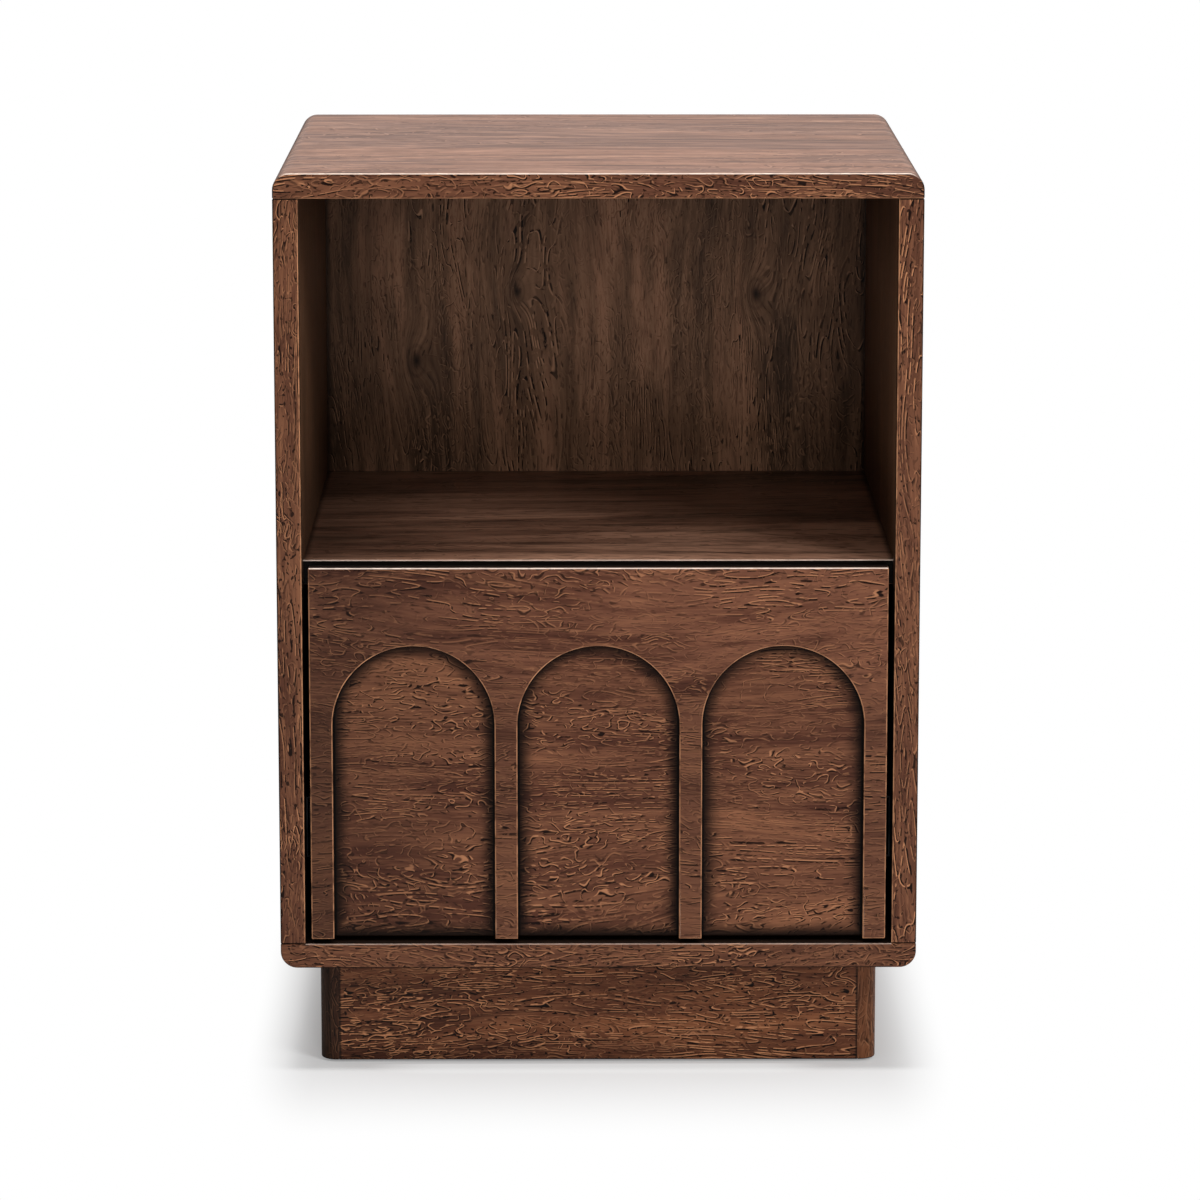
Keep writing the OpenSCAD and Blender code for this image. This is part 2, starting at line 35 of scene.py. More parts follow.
# Studio: lamps in watts, sizes and places in metres. MIRRORED values are what the lacquer sees of the room.
AMBIENT = 0.34
MIRRORED_ROOM = 0.12
MIRRORED_BACKDROP = 0.80
BACKDROP_EDGE = (-0.15, 0.35)
LAMP_AIM = (0.0, 0.0, 0.35)
LAMPS = {
    "key_lamp": {"place": (1.9, -2.4, 2.7), "size": (1.1, 1.1), "watts": 44.0},
    "front_lamp": {"place": (0.3, -4.1, 1.0), "size": (0.7, 1.2), "watts": 28.0, "mirrored": False},
    "top_lamp": {"place": (-0.1, -0.45, 2.6), "size": (0.9, 0.35), "watts": 23.0},
}

# Floor, in metres: it is lifted to plain white with the distance from the plinth.
FLOOR_SIZE = 40.0
FLOOR_COLOUR = (0.86, 0.86, 0.86, 1.0)
FLOOR_ROUGHNESS = 0.9
FLOOR_LIFT = 0.24
FLOOR_REACH = 0.20
FLOOR_SIDEWAYS = 3.5
# A lighter strip of floor along the plinth's front: its beginning and end before the plinth, and its sides.
STRIP_LIFT = 0.50
STRIP_BEGIN = (0.0, 0.008)
STRIP_END = (0.015, 0.060)
STRIP_SIDES = (-0.09, 0.02)

# Lacquer, and how much duller the dark arris lines, the dark ends with their painted shade, and the arches'
# painted recess shade are.
LACQUER_ROUGHNESS = 0.36
LACQUER_SPECULAR = 0.09
LACQUER_COAT = 0.08
LACQUER_COAT_ROUGHNESS = 0.24
ARRIS_DULLNESS = 0.6
DARK_ENDS_AND_SHADE_DULLNESS = 0.5
RECESS_SHADE_DULLNESS = 0.4

# Reliefs: a strength, and a depth in metres.
WALNUT_RELIEF = (0.25, 0.0004)
PALE_RELIEF = (0.15, 0.0003)
MOULDED_RELIEF = (0.3, 0.0002)
METAL_DEPTH = 0.0002

# The marks of wood: waves per metre along the grain and across it.
WAVES = {
    "drift": (2.2, 6.0, 6.0),
    "tone": (3.0, 24.0, 24.0),
    "band": (7.0, 80.0, 80.0),
    "streak": (11.0, 190.0, 190.0),
    "fibre": (40.0, 780.0, 780.0),
    "pore": (110.0, 1100.0, 1100.0),
    "pit": (300.0, 520.0, 520.0),
    "curl": (85.0, 120.0, 120.0),
    "swirl": (48.0, 140.0, 140.0),
    "run": (13.0, 125.0, 125.0),
    "break": (145.0, 290.0, 290.0),
    "region": (6.0, 15.0, 15.0),
    "zone": (9.0, 34.0, 34.0),
    "wear_and_highlight": (110.0, 110.0, 110.0),
    "recess_shade": (60.0, 60.0, 60.0),
}
# How far the grain drifts and curls from a straight line, in metres.
DRIFT_REACH = (0.0, 0.09, 0.09)
CURL_REACH = (0.006, 0.007, 0.007)
# Tone is a broad noise with a finer one in it, and goes from dark over middle to light.
TONE_SHARE = 0.62
BAND_SHARE = 0.38
DARK_TO_MIDDLE = (0.40, 0.50)
MIDDLE_TO_LIGHT = (0.50, 0.62)
STREAK_SHARE = 1.2
FIBRE_SHARE = 0.8
STRIPE_LIGHTER = 0.62
STRIPE_DARKER = -0.85
PORE_EDGE = (0.68, 0.76)
PORE_SHARE = 0.6
PIT_EDGE = (0.71, 0.75)
# Thin lines: their number over the noise's whole height, their width and the dark one's distance in metres.
LINE_SIZES = {
    "swirl": {"levels": 5.5, "width": 0.00056, "gap": 0.00088},
    "run": {"levels": 7.0, "width": 0.00050, "gap": 0.00080},
}
LINE_STEP = 0.0004
LEAST_SLOPE = 40.0
# Where a line fades, in shares of its width to each side.
LIGHT_LINE_EDGE = (0.25, 1.0)
DARK_LINE_EDGE = (0.60, 1.60)
LINE_DARK_SHARE = 0.95
LINE_LIGHT_SHARE = 0.62
# Where lines break off, and where the wood has more or fewer of them: a noise's span, and the shares there.
SWIRL_BREAKS = (0.44, 0.53)
RUN_BREAKS = (0.43, 0.52)
BUSY_ZONES = (0.38, 0.58, 0.45, 1.15)
SWIRL_REGIONS = (0.36, 0.58, 0.25, 1.0)
RUN_REGIONS = (0.42, 0.62, 1.0, 0.25)
# How much height the pores and stripes have beside the lines, and what height does to the roughness.
PORE_HEIGHT = 0.8
STRIPE_HEIGHT = 0.5
ROUGH_BY_HEIGHT = (-1.0, 1.0, 0.07, -0.04)

# Level faces show the figure drawn out along and across the grain, with less relief.
FLAT_STRETCH = (0.50, 0.34, 1.0)
FLAT_CALM = 0.6

# How a face's direction tells flat faces, broad faces to one side, and eased arrises and their tilt.
FLAT_FACE = (0.90, 0.97)
BROAD_FACE = (0.70, 0.80)
ARRIS_INNER = (0.08, 0.30)
ARRIS_OUTER = (0.90, 0.985)
ARRIS_TILT = (0.10, 0.45)
# Light arris lines are a painted highlight, patchy like wear and fullest on upper arrises; rear arrises take
# painted shade.
ARRIS_WEAR_AND_HIGHLIGHT = (0.36, 0.58, 0.25, 1.0)
UPPER_ARRIS_LEAST = 0.8
REAR_ARRIS_DARK = 0.8

# Where painted shade darkens the compartment's walls, in metres above the shelf's underside.
BAY_FOOT = (0.018, 0.115)
BAY_HEAD = (0.184, 0.281)
BAY_EDGE = 0.002
# How much further than its reach the painted shade behind the front plane fades out.
SHADE_STRIP_FADE = 1.5

# The share of painted shade in the compartment's upright corners, and the dirt at the plinth's joints: its two
# ends from the joint in metres, and its share.
CORNER_SHADE = 0.8
JOINT_DIRT = (0.0022, 0.0006, 0.85)

# The back panel's knots: an x, a z and a radius in metres.
BACK_KNOTS = ((-0.1415, 0.462, 0.0042), (-0.0622, 0.517, 0.0034), (0.1260, 0.515, 0.0040))
# A knot is longer than wide. Its heart, its rings, the grain's bend and the calm round it fade outwards.
KNOT_LENGTH = 1.7
KNOT_BEND = 3.0
KNOT_BEND_FADE = -0.10
KNOT_RINGS = 4.6
KNOT_RING_SHARE = 0.45
KNOT_RING_FADE = -0.16
KNOT_HEART_FADE = -1.1
KNOT_HEART_SHARE = 0.95
KNOT_CALM_FADE = -0.04
KNOT_CALM = 0.75

# In metres: from the imported pieces, the drawer front's lower edge and the plane of the carcass's front
# edges;
# and the arches, with the painted shade and the painted shadow line that lie in them.
FRONT_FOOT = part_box("drawer_front_base")[0].z
FRONT_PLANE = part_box("left_side")[0].y
ARCH_RADIUS = 0.05817
ARCH_PITCH = 0.13283
ARCH_SPRING = 0.25733
# Painted shade in the arches' recesses: its depth, where it starts at the foot, its cloud and share; then the
# painted shadow line round the arches.
RECESS_SHADE_DEPTH = (0.0119, 0.0161)
RECESS_SHADE_FOOT = 0.001
RECESS_SHADE_CLOUD = (0.3, 0.7)
RECESS_SHADE_SHARE = 0.98
SHADOW_LINE_WIDTH = (0.0009, 0.0022)
SHADOW_LINE_SHARE = 0.85

# Metal: waves per metre, and where its clouds and rolled lines lie in their noises.
ROLLED_WAVES = (14.0, 1400.0, 1400.0)
CLOUD_WAVES = (38.0, 60.0, 60.0)
CLOUD_SPAN = (0.35, 0.70)
ROLLED_SPAN = (0.45, 0.75)
CLOUD_DULL = 0.45
CLOUD_ROUGHNESS = (-0.05, 0.14)
ROLLED_BRIGHT = 0.35
# Its dull and bright colours, as multiples of its own colour.
DULL_METAL = 0.5
BRIGHT_METAL = 1.45
# Moulded plastic and rubber: waves per metre, where the scuffs lie, and the dust's share and colour.
MOULD_WAVES = (1800.0, 1800.0, 1800.0)
SCUFF_WAVES = (160.0, 160.0, 160.0)
SCUFF_SPAN = (0.52, 0.75)
DUST_SHARE = 0.35
DUST = (0.16, 0.14, 0.12, 1.0)


def linear(red, green, blue):
    """A screen colour from 0 to 255 as the linear colour that a shader takes."""
    shares = [c / 255.0 for c in (red, green, blue)]
    return tuple(s / 12.92 if s <= 0.04045 else ((s + 0.055) / 1.055) ** 2.4 for s in shares) + (1.0,)


def wood_colours(*screen_colours):
    """The five colours of a wood: dark, middle, light, and its dark and light lines."""
    labels = ("Dark", "Middle", "Light", "Line Dark", "Line Light")
    return {label: linear(*colour) for label, colour in zip(labels, screen_colours)}


WALNUT = wood_colours((84, 48, 35), (109, 68, 49), (144, 94, 67), (28, 11, 4), (192, 132, 94))
DEEP_WALNUT = wood_colours((68, 37, 24), (95, 55, 36), (124, 76, 49), (18, 6, 2), (184, 126, 88))
BACK_WALNUT = wood_colours((88, 65, 49), (128, 94, 71), (176, 128, 99), (26, 14, 8), (202, 152, 118))
SHELF_WALNUT = wood_colours((96, 71, 57), (150, 108, 87), (198, 149, 122), (28, 15, 10), (200, 150, 120))
PALE_WOOD = wood_colours((176, 138, 96), (201, 164, 120), (219, 187, 147), (150, 110, 72), (226, 200, 162))
PLYWOOD = wood_colours((196, 160, 116), (214, 182, 138), (226, 200, 160), (170, 130, 88), (234, 212, 176))
BEECH = wood_colours((190, 148, 104), (208, 168, 122), (222, 186, 142), (158, 112, 74), (230, 198, 158))
# Colours of the light arris lines, a painted highlight with some wear: on upper arrises, and on the others.
ARRIS_UPPER = linear(250, 228, 212)
ARRIS_OTHER = linear(206, 148, 108)
# The dark of end grain, and of the painted shade on dark arris lines, in gaps and on inner faces.
DARK_ENDS_AND_SHADE = linear(14, 10, 7)
# A painted sheen that lightens level faces.
PAINTED_SHEEN = linear(206, 138, 100)
# A dark colour: darker tone of whole boards, and painted shade in corners, under parts and in the arches.
DARK_TONE_AND_SHADE = linear(22, 12, 7)
# A greyer tint painted on inner faces as the colour of their shade.
INNER_SHADE_TINT = linear(98, 80, 60)
BLACK = linear(2, 1, 1)
GLIDE_BROWN = linear(52, 38, 30)
BUMPER_GREY = linear(38, 37, 36)
BLACK_PLATING = (0.030, 0.030, 0.032, 1.0)
ZINC = (0.62, 0.63, 0.60, 1.0)
POLISHED_STEEL = (0.78, 0.78, 0.79, 1.0)


# Small helpers for shader nodes.
def join(tree, source, target):
    """Links a socket to an input, or writes a plain value there."""
    if isinstance(source, bpy.types.NodeSocket):
        tree.links.new(source, target)
    else:
        target.default_value = source


def maths(tree, operation, *values, clamp=False):
    """One Math node."""
    node = tree.nodes.new("ShaderNodeMath")
    node.operation = operation
    node.use_clamp = clamp
    for place, given in enumerate(values):
        join(tree, given, node.inputs[place])
    return node.outputs[0]


def total_of(tree, values, clamp=False):
    """The sum of several values."""
    total = values[0]
    for value in values[1:]:
        total = maths(tree, "ADD", total, value, clamp=clamp)
    return total


def vector_maths(tree, operation, *vectors):
    """One Vector Math node. It gives a number for a dot product or a length, and else a vector."""
    node = tree.nodes.new("ShaderNodeVectorMath")
    node.operation = operation
    for place, given in enumerate(vectors):
        join(tree, given, node.inputs[place])
    return node.outputs["Value" if operation in ("DOT_PRODUCT", "LENGTH") else "Vector"]


def axes_of(tree, vector):
    """A vector's three numbers."""
    node = tree.nodes.new("ShaderNodeSeparateXYZ")
    tree.links.new(vector, node.inputs[0])
    return node.outputs


def span(tree, given, low, high, new_low=0.0, new_high=1.0):
    """Maps a value from one span to another with soft ends."""
    node = tree.nodes.new("ShaderNodeMapRange")
    node.interpolation_type = "SMOOTHSTEP"
    for place, setting in enumerate((given, low, high, new_low, new_high)):
        join(tree, setting, node.inputs[place])
    return node.outputs[0]


def mixed(tree, share, first, second):
    """Mixes two colours."""
    node = tree.nodes.new("ShaderNodeMix")
    node.data_type = "RGBA"
    join(tree, share, node.inputs[0])
    join(tree, first, node.inputs[6])
    join(tree, second, node.inputs[7])
    return node.outputs[2]


def noise(tree, vector, waves, detail=2.0, roughness=0.5, distortion=0.0):
    """A noise with its waves per metre along each axis."""
    node = tree.nodes.new("ShaderNodeTexNoise")
    node.inputs["Scale"].default_value = 1.0
    node.inputs["Detail"].default_value = detail
    node.inputs["Roughness"].default_value = roughness
    node.inputs["Distortion"].default_value = distortion
    join(tree, vector_maths(tree, "MULTIPLY", vector, waves), node.inputs["Vector"])
    return node.outputs


def away_from_middle(tree, facing, place):
    """How far a face looks away from the object's middle plane, or with a minus sign towards it."""
    return maths(tree, "MULTIPLY", facing["X"], maths(tree, "SIGN", place["X"]))


def grain_lines_with_painted_shadow(tree, vector, normal, waves, levels, width, gap):
    """Even thin lines along the levels of a noise: a light one, and a dark one just below it, painted as its
    shadow.
    """
    here = noise(tree, vector, waves, detail=0.0)[0]
    steps = ((LINE_STEP, 0.0, 0.0), (0.0, LINE_STEP, 0.0), (0.0, 0.0, LINE_STEP))
    slope = tree.nodes.new("ShaderNodeCombineXYZ")
    for axis, step in enumerate(steps):
        there = noise(tree, vector_maths(tree, "ADD", vector, step), waves, detail=0.0)[0]
        rise = maths(tree, "SUBTRACT", there, here)
        tree.links.new(maths(tree, "MULTIPLY", rise, levels / LINE_STEP), slope.inputs[axis])
    slope = slope.outputs[0]
    scaled = tree.nodes.new("ShaderNodeVectorMath")
    scaled.operation = "SCALE"
    tree.links.new(normal, scaled.inputs[0])
    tree.links.new(vector_maths(tree, "DOT_PRODUCT", slope, normal), scaled.inputs["Scale"])
    flat = vector_maths(tree, "SUBTRACT", slope, scaled.outputs[0])
    steep = maths(tree, "MAXIMUM", vector_maths(tree, "LENGTH", flat), LEAST_SLOPE)
    wave = maths(tree, "SUBTRACT", maths(tree, "FRACT", maths(tree, "MULTIPLY", here, levels)), 0.5)
    away = maths(tree, "DIVIDE", wave, steep)
    parts = axes_of(tree, flat)
    # The dark line always falls below the light one, as the painted shadow of a lit ridge.
    downhill = maths(tree, "ADD", parts["Z"], parts["Y"])
    away = maths(tree, "MULTIPLY", away, maths(tree, "SIGN", downhill))
    light_edge = (width * share for share in LIGHT_LINE_EDGE)
    dark_edge = (width * share for share in DARK_LINE_EDGE)
    light = span(tree, maths(tree, "ABSOLUTE", away), *light_edge, 1.0, 0.0)
    below = maths(tree, "ABSOLUTE", maths(tree, "ADD", away, gap))
    dark = span(tree, below, *dark_edge, 1.0, 0.0)
    return light, dark


def new_group(name, inputs, outputs):
    """A shader node group with named inputs, each with a first value, and named outputs."""
    group = bpy.data.node_groups.new(name, "ShaderNodeTree")
    for label, kind, first in inputs:
        socket = group.interface.new_socket(name=label, in_out="INPUT", socket_type=kind)
        if first is not None:
            socket.default_value = first
    for label, kind in outputs:
        group.interface.new_socket(name=label, in_out="OUTPUT", socket_type=kind)
    given = group.nodes.new("NodeGroupInput").outputs
    result = group.nodes.new("NodeGroupOutput").inputs
    return group, given, result


def place_group(tree, group, settings):
    """Puts a group into a material with its own values."""
    node = tree.nodes.new("ShaderNodeGroup")
    node.node_tree = group
    for label, setting in settings.items():
        join(tree, setting, node.inputs[label])
    return node.outputs


COLOUR = "NodeSocketColor"
NUMBER = "NodeSocketFloat"
VECTOR = "NodeSocketVector"
SURFACE = [("Color", COLOUR), ("Roughness", NUMBER), ("Height", NUMBER)]


def wood_figure_group():
    """Wood with its grain along the vector's X: tone, bands, streaks, swirling lines, pores and pits."""
    group, given, result = new_group(
        "wood_figure",
        [
            ("Vector", VECTOR, None),
            ("Normal", VECTOR, None),
            ("Dark", COLOUR, WALNUT["Dark"]),
            ("Middle", COLOUR, WALNUT["Middle"]),
            ("Light", COLOUR, WALNUT["Light"]),
            ("Line Dark", COLOUR, WALNUT["Line Dark"]),
            ("Line Light", COLOUR, WALNUT["Line Light"]),
            ("Swirls", NUMBER, 1.0),
            ("Lines", NUMBER, 1.0),
            ("Streaks", NUMBER, 1.0),
            ("Variety", NUMBER, 1.0),
            ("Pits", NUMBER, 0.0),
        ],
        SURFACE,
    )
    vector = given["Vector"]
    drift = noise(group, vector, WAVES["drift"], detail=1.0)["Color"]
    drift = vector_maths(group, "SUBTRACT", drift, (0.5, 0.5, 0.5))
    drift = vector_maths(group, "MULTIPLY", drift, DRIFT_REACH)
    flowing = vector_maths(group, "ADD", vector, drift)

    tone = noise(group, flowing, WAVES["tone"], detail=3.0, roughness=0.55, distortion=0.3)[0]
    band = noise(group, flowing, WAVES["band"], detail=2.0, roughness=0.6)[0]
    band = maths(group, "MULTIPLY", band, BAND_SHARE)
    tone = maths(group, "ADD", maths(group, "MULTIPLY", tone, TONE_SHARE), band)
    tone = maths(group, "MULTIPLY", maths(group, "SUBTRACT", tone, 0.5), given["Variety"])
    tone = maths(group, "ADD", tone, 0.5)
    colour = mixed(group, span(group, tone, *DARK_TO_MIDDLE), given["Dark"], given["Middle"])
    colour = mixed(group, span(group, tone, *MIDDLE_TO_LIGHT), colour, given["Light"])

    streak = noise(group, flowing, WAVES["streak"], detail=2.0, roughness=0.6)[0]
    fibre = noise(group, flowing, WAVES["fibre"], detail=1.0)[0]
    fibre = maths(group, "MULTIPLY", fibre, FIBRE_SHARE)
    stripe = maths(group, "ADD", maths(group, "MULTIPLY", streak, STREAK_SHARE), fibre)
    stripe = maths(group, "MULTIPLY", maths(group, "SUBTRACT", stripe, 1.0), given["Streaks"])
    lighter = maths(group, "MULTIPLY", stripe, STRIPE_LIGHTER, clamp=True)
    darker = maths(group, "MULTIPLY", stripe, STRIPE_DARKER, clamp=True)
    colour = mixed(group, lighter, colour, given["Line Light"])
    colour = mixed(group, darker, colour, given["Line Dark"])

    pore = noise(group, flowing, WAVES["pore"], detail=0.0)[0]
    pore = span(group, pore, *PORE_EDGE)
    colour = mixed(group, maths(group, "MULTIPLY", pore, PORE_SHARE), colour, given["Line Dark"])
    pit = noise(group, vector, WAVES["pit"], detail=0.0)[0]
    pit = maths(group, "MULTIPLY", span(group, pit, *PIT_EDGE), given["Pits"], clamp=True)
    colour = mixed(group, pit, colour, given["Line Dark"])

    normal = given["Normal"]
    curl = noise(group, vector, WAVES["curl"], detail=0.0)["Color"]
    curl = vector_maths(group, "SUBTRACT", curl, (0.5, 0.5, 0.5))
    curled = vector_maths(group, "ADD", flowing, vector_maths(group, "MULTIPLY", curl, CURL_REACH))
    swirls = grain_lines_with_painted_shadow(group, curled, normal, WAVES["swirl"], **LINE_SIZES["swirl"])
    runs = grain_lines_with_painted_shadow(group, flowing, normal, WAVES["run"], **LINE_SIZES["run"])

    breaks = noise(group, vector, WAVES["break"], detail=1.0)["Color"]
    split = group.nodes.new("ShaderNodeSeparateColor")
    group.links.new(breaks, split.inputs[0])
    region = noise(group, vector, WAVES["region"], detail=1.0)[0]
    zone = noise(group, flowing, WAVES["zone"], detail=1.0)[0]
    busy = maths(group, "MULTIPLY", span(group, zone, *BUSY_ZONES), given["Lines"])
    swirly = maths(group, "MULTIPLY", span(group, region, *SWIRL_REGIONS), given["Swirls"])
    running = span(group, region, *RUN_REGIONS)
    first = maths(group, "MULTIPLY", span(group, split.outputs[0], *SWIRL_BREAKS), swirly)
    second = maths(group, "MULTIPLY", span(group, split.outputs[1], *RUN_BREAKS), running)
    kinds = []
    for swirl, run in zip(swirls, runs):
        swirl = maths(group, "MULTIPLY", swirl, first)
        line = maths(group, "MAXIMUM", swirl, maths(group, "MULTIPLY", run, second))
        kinds.append(maths(group, "MULTIPLY", line, busy))
    light_line, dark_line = kinds
    darker = maths(group, "MULTIPLY", dark_line, LINE_DARK_SHARE, clamp=True)
    colour = mixed(group, darker, colour, given["Line Dark"])
    lighter = maths(group, "MULTIPLY", light_line, LINE_LIGHT_SHARE, clamp=True)
    colour = mixed(group, lighter, colour, given["Line Light"])
    group.links.new(colour, result["Color"])

    height = maths(group, "SUBTRACT", light_line, dark_line)
    height = maths(group, "SUBTRACT", height, maths(group, "MULTIPLY", pore, PORE_HEIGHT))
    height = maths(group, "ADD", height, maths(group, "MULTIPLY", stripe, STRIPE_HEIGHT))
    group.links.new(height, result["Height"])
    group.links.new(span(group, height, *ROUGH_BY_HEIGHT), result["Roughness"])
    return group


def arris_group():
    """The thin lines on the eased edges round a front face: above 0 a light line, painted highlight made
    patchy by wear; below 0 a dark line, painted shade.
    """
    group, given, result = new_group(
        "eased_arris",
        [
            ("Normal", VECTOR, None),
            ("Vector", VECTOR, None),
            ("Up", NUMBER, 0.0),
            ("Down", NUMBER, 0.0),
            ("Outward", NUMBER, 0.0),
            ("Inward", NUMBER, 0.0),
            ("Half Length", NUMBER, 1.0),
        ],
        [("Light", NUMBER), ("Dark", NUMBER), ("Rising", NUMBER)],
    )
    facing = axes_of(group, given["Normal"])
    place = axes_of(group, given["Vector"])
    forward = maths(group, "ABSOLUTE", facing["Y"])
    inner = span(group, forward, *ARRIS_INNER)
    outer = span(group, forward, *ARRIS_OUTER, 1.0, 0.0)
    ring = maths(group, "MULTIPLY", inner, outer)
    sideways = away_from_middle(group, facing, place)
    ways = (
        ("Up", facing["Z"], 1.0),
        ("Down", facing["Z"], -1.0),
        ("Outward", sideways, 1.0),
        ("Inward", sideways, -1.0),
    )
    shares = []
    for label, tilt, sign in ways:
        share = span(group, maths(group, "MULTIPLY", tilt, sign), *ARRIS_TILT)
        shares.append(maths(group, "MULTIPLY", share, given[label]))
    along = maths(group, "ABSOLUTE", place["X"])
    joint = maths(group, "GREATER_THAN", along, given["Half Length"])
    rear = maths(group, "GREATER_THAN", facing["Y"], 0.0)
    plain = maths(group, "SUBTRACT", 1.0, maths(group, "MAXIMUM", joint, rear))
    total = maths(group, "MULTIPLY", total_of(group, shares), plain)
    total = maths(group, "SUBTRACT", total, maths(group, "MULTIPLY", rear, REAR_ARRIS_DARK))
    total = maths(group, "MULTIPLY", total, ring)
    rising = span(group, facing["Z"], *ARRIS_TILT)
    wear_and_highlight_noise = noise(group, given["Vector"], WAVES["wear_and_highlight"], detail=2.0)[0]
    patchy_wear_and_highlight = span(group, wear_and_highlight_noise, *ARRIS_WEAR_AND_HIGHLIGHT)
    even = maths(group, "MAXIMUM", patchy_wear_and_highlight, maths(group, "MULTIPLY", rising, UPPER_ARRIS_LEAST))
    group.links.new(maths(group, "MULTIPLY", total, even, clamp=True), result["Light"])
    group.links.new(maths(group, "MULTIPLY", total, -1.0, clamp=True), result["Dark"])
    group.links.new(rising, result["Rising"])
    return group


def dark_ends_and_shade_group():
    """Dark faces: ends, as end grain and as painted shade in gaps, and painted shade on upper edges, fronts
    and inner faces.

    Inner faces take the painted shade near the front plane, below the shelf, and at the compartment's foot and
    head.
    """
    group, given, result = new_group(
        "dark_ends_and_painted_shade",
        [
            ("Normal", VECTOR, None),
            ("Vector", VECTOR, None),
            ("Front", NUMBER, 0.0),
            ("Ends", NUMBER, 0.0),
            ("Ends From", NUMBER, FLAT_FACE[0]),
            ("Top", NUMBER, 0.0),
            ("Inner", NUMBER, 0.0),
            ("Reach", NUMBER, 0.01),
            ("Below", NUMBER, 0.0),
            ("Foot", NUMBER, 0.0),
            ("Head", NUMBER, 0.0),
        ],
        [("Dark Ends And Shade", NUMBER), ("Inside", NUMBER)],
    )
    facing = axes_of(group, given["Normal"])
    place = axes_of(group, given["Vector"])
    start, full = FLAT_FACE
    front = span(group, facing["Y"], -full, -start, 1.0, 0.0)
    ends = span(group, maths(group, "ABSOLUTE", facing["X"]), given["Ends From"], full)
    top = span(group, facing["Z"], start, full)
    inner = span(group, away_from_middle(group, facing, place), -full, -start, 1.0, 0.0)
    depth = maths(group, "SUBTRACT", place["Y"], FRONT_PLANE)
    far = maths(group, "MULTIPLY", given["Reach"], SHADE_STRIP_FADE)
    strip = span(group, depth, given["Reach"], far, 1.0, 0.0)
    edge = maths(group, "SUBTRACT", given["Below"], BAY_EDGE)
    bay = span(group, place["Z"], edge, given["Below"], 1.0, 0.0)
    hidden = maths(group, "MULTIPLY", maths(group, "MAXIMUM", strip, bay), given["Inner"])
    rise = maths(group, "SUBTRACT", place["Z"], given["Below"])
    foot = maths(group, "MULTIPLY", span(group, rise, *BAY_FOOT, 1.0, 0.0), given["Foot"])
    head = maths(group, "MULTIPLY", span(group, rise, *BAY_HEAD), given["Head"])
    darker = maths(group, "MAXIMUM", hidden, maths(group, "MAXIMUM", foot, head))
    dark_ends_and_shade = maths(group, "MULTIPLY", inner, darker)
    for mask, label in ((front, "Front"), (ends, "Ends"), (top, "Top")):
        dark_ends_and_shade = maths(group, "MAXIMUM", dark_ends_and_shade, maths(group, "MULTIPLY", mask, given[label]))
    group.links.new(dark_ends_and_shade, result["Dark Ends And Shade"])
    group.links.new(inner, result["Inside"])
    return group


def arch_shade_group():
    """Painted shade in the three arches' recesses, along their sides, heads and the lower edge, and a painted
    shadow line round them.
    """
    outputs = [("Recess Shade", NUMBER), ("Seam", NUMBER)]
    group, given, result = new_group("arch_painted_shade", [("Vector", VECTOR, None)], outputs)
    place = axes_of(group, given["Vector"])
    turns = maths(group, "ROUND", maths(group, "DIVIDE", place["X"], ARCH_PITCH))
    across = maths(group, "SUBTRACT", place["X"], maths(group, "MULTIPLY", turns, ARCH_PITCH))
    above = maths(group, "MAXIMUM", maths(group, "SUBTRACT", place["Z"], ARCH_SPRING), 0.0)
    reach = maths(group, "POWER", across, 2.0)
    reach = maths(group, "ADD", reach, maths(group, "POWER", above, 2.0))
    inside = maths(group, "SUBTRACT", ARCH_RADIUS, maths(group, "SQRT", reach))
    lower = maths(group, "SUBTRACT", place["Z"], FRONT_FOOT)
    cloud = noise(group, given["Vector"], WAVES["recess_shade"], detail=1.0)[0]
    depth = span(group, cloud, *RECESS_SHADE_CLOUD, *RECESS_SHADE_DEPTH)
    side = span(group, inside, 0.0, depth, 1.0, 0.0)
    foot = span(group, lower, RECESS_SHADE_FOOT, depth, 1.0, 0.0)
    group.links.new(maths(group, "MAXIMUM", side, foot), result["Recess Shade"])
    group.links.new(span(group, inside, *SHADOW_LINE_WIDTH, 1.0, 0.0), result["Seam"])
    return group


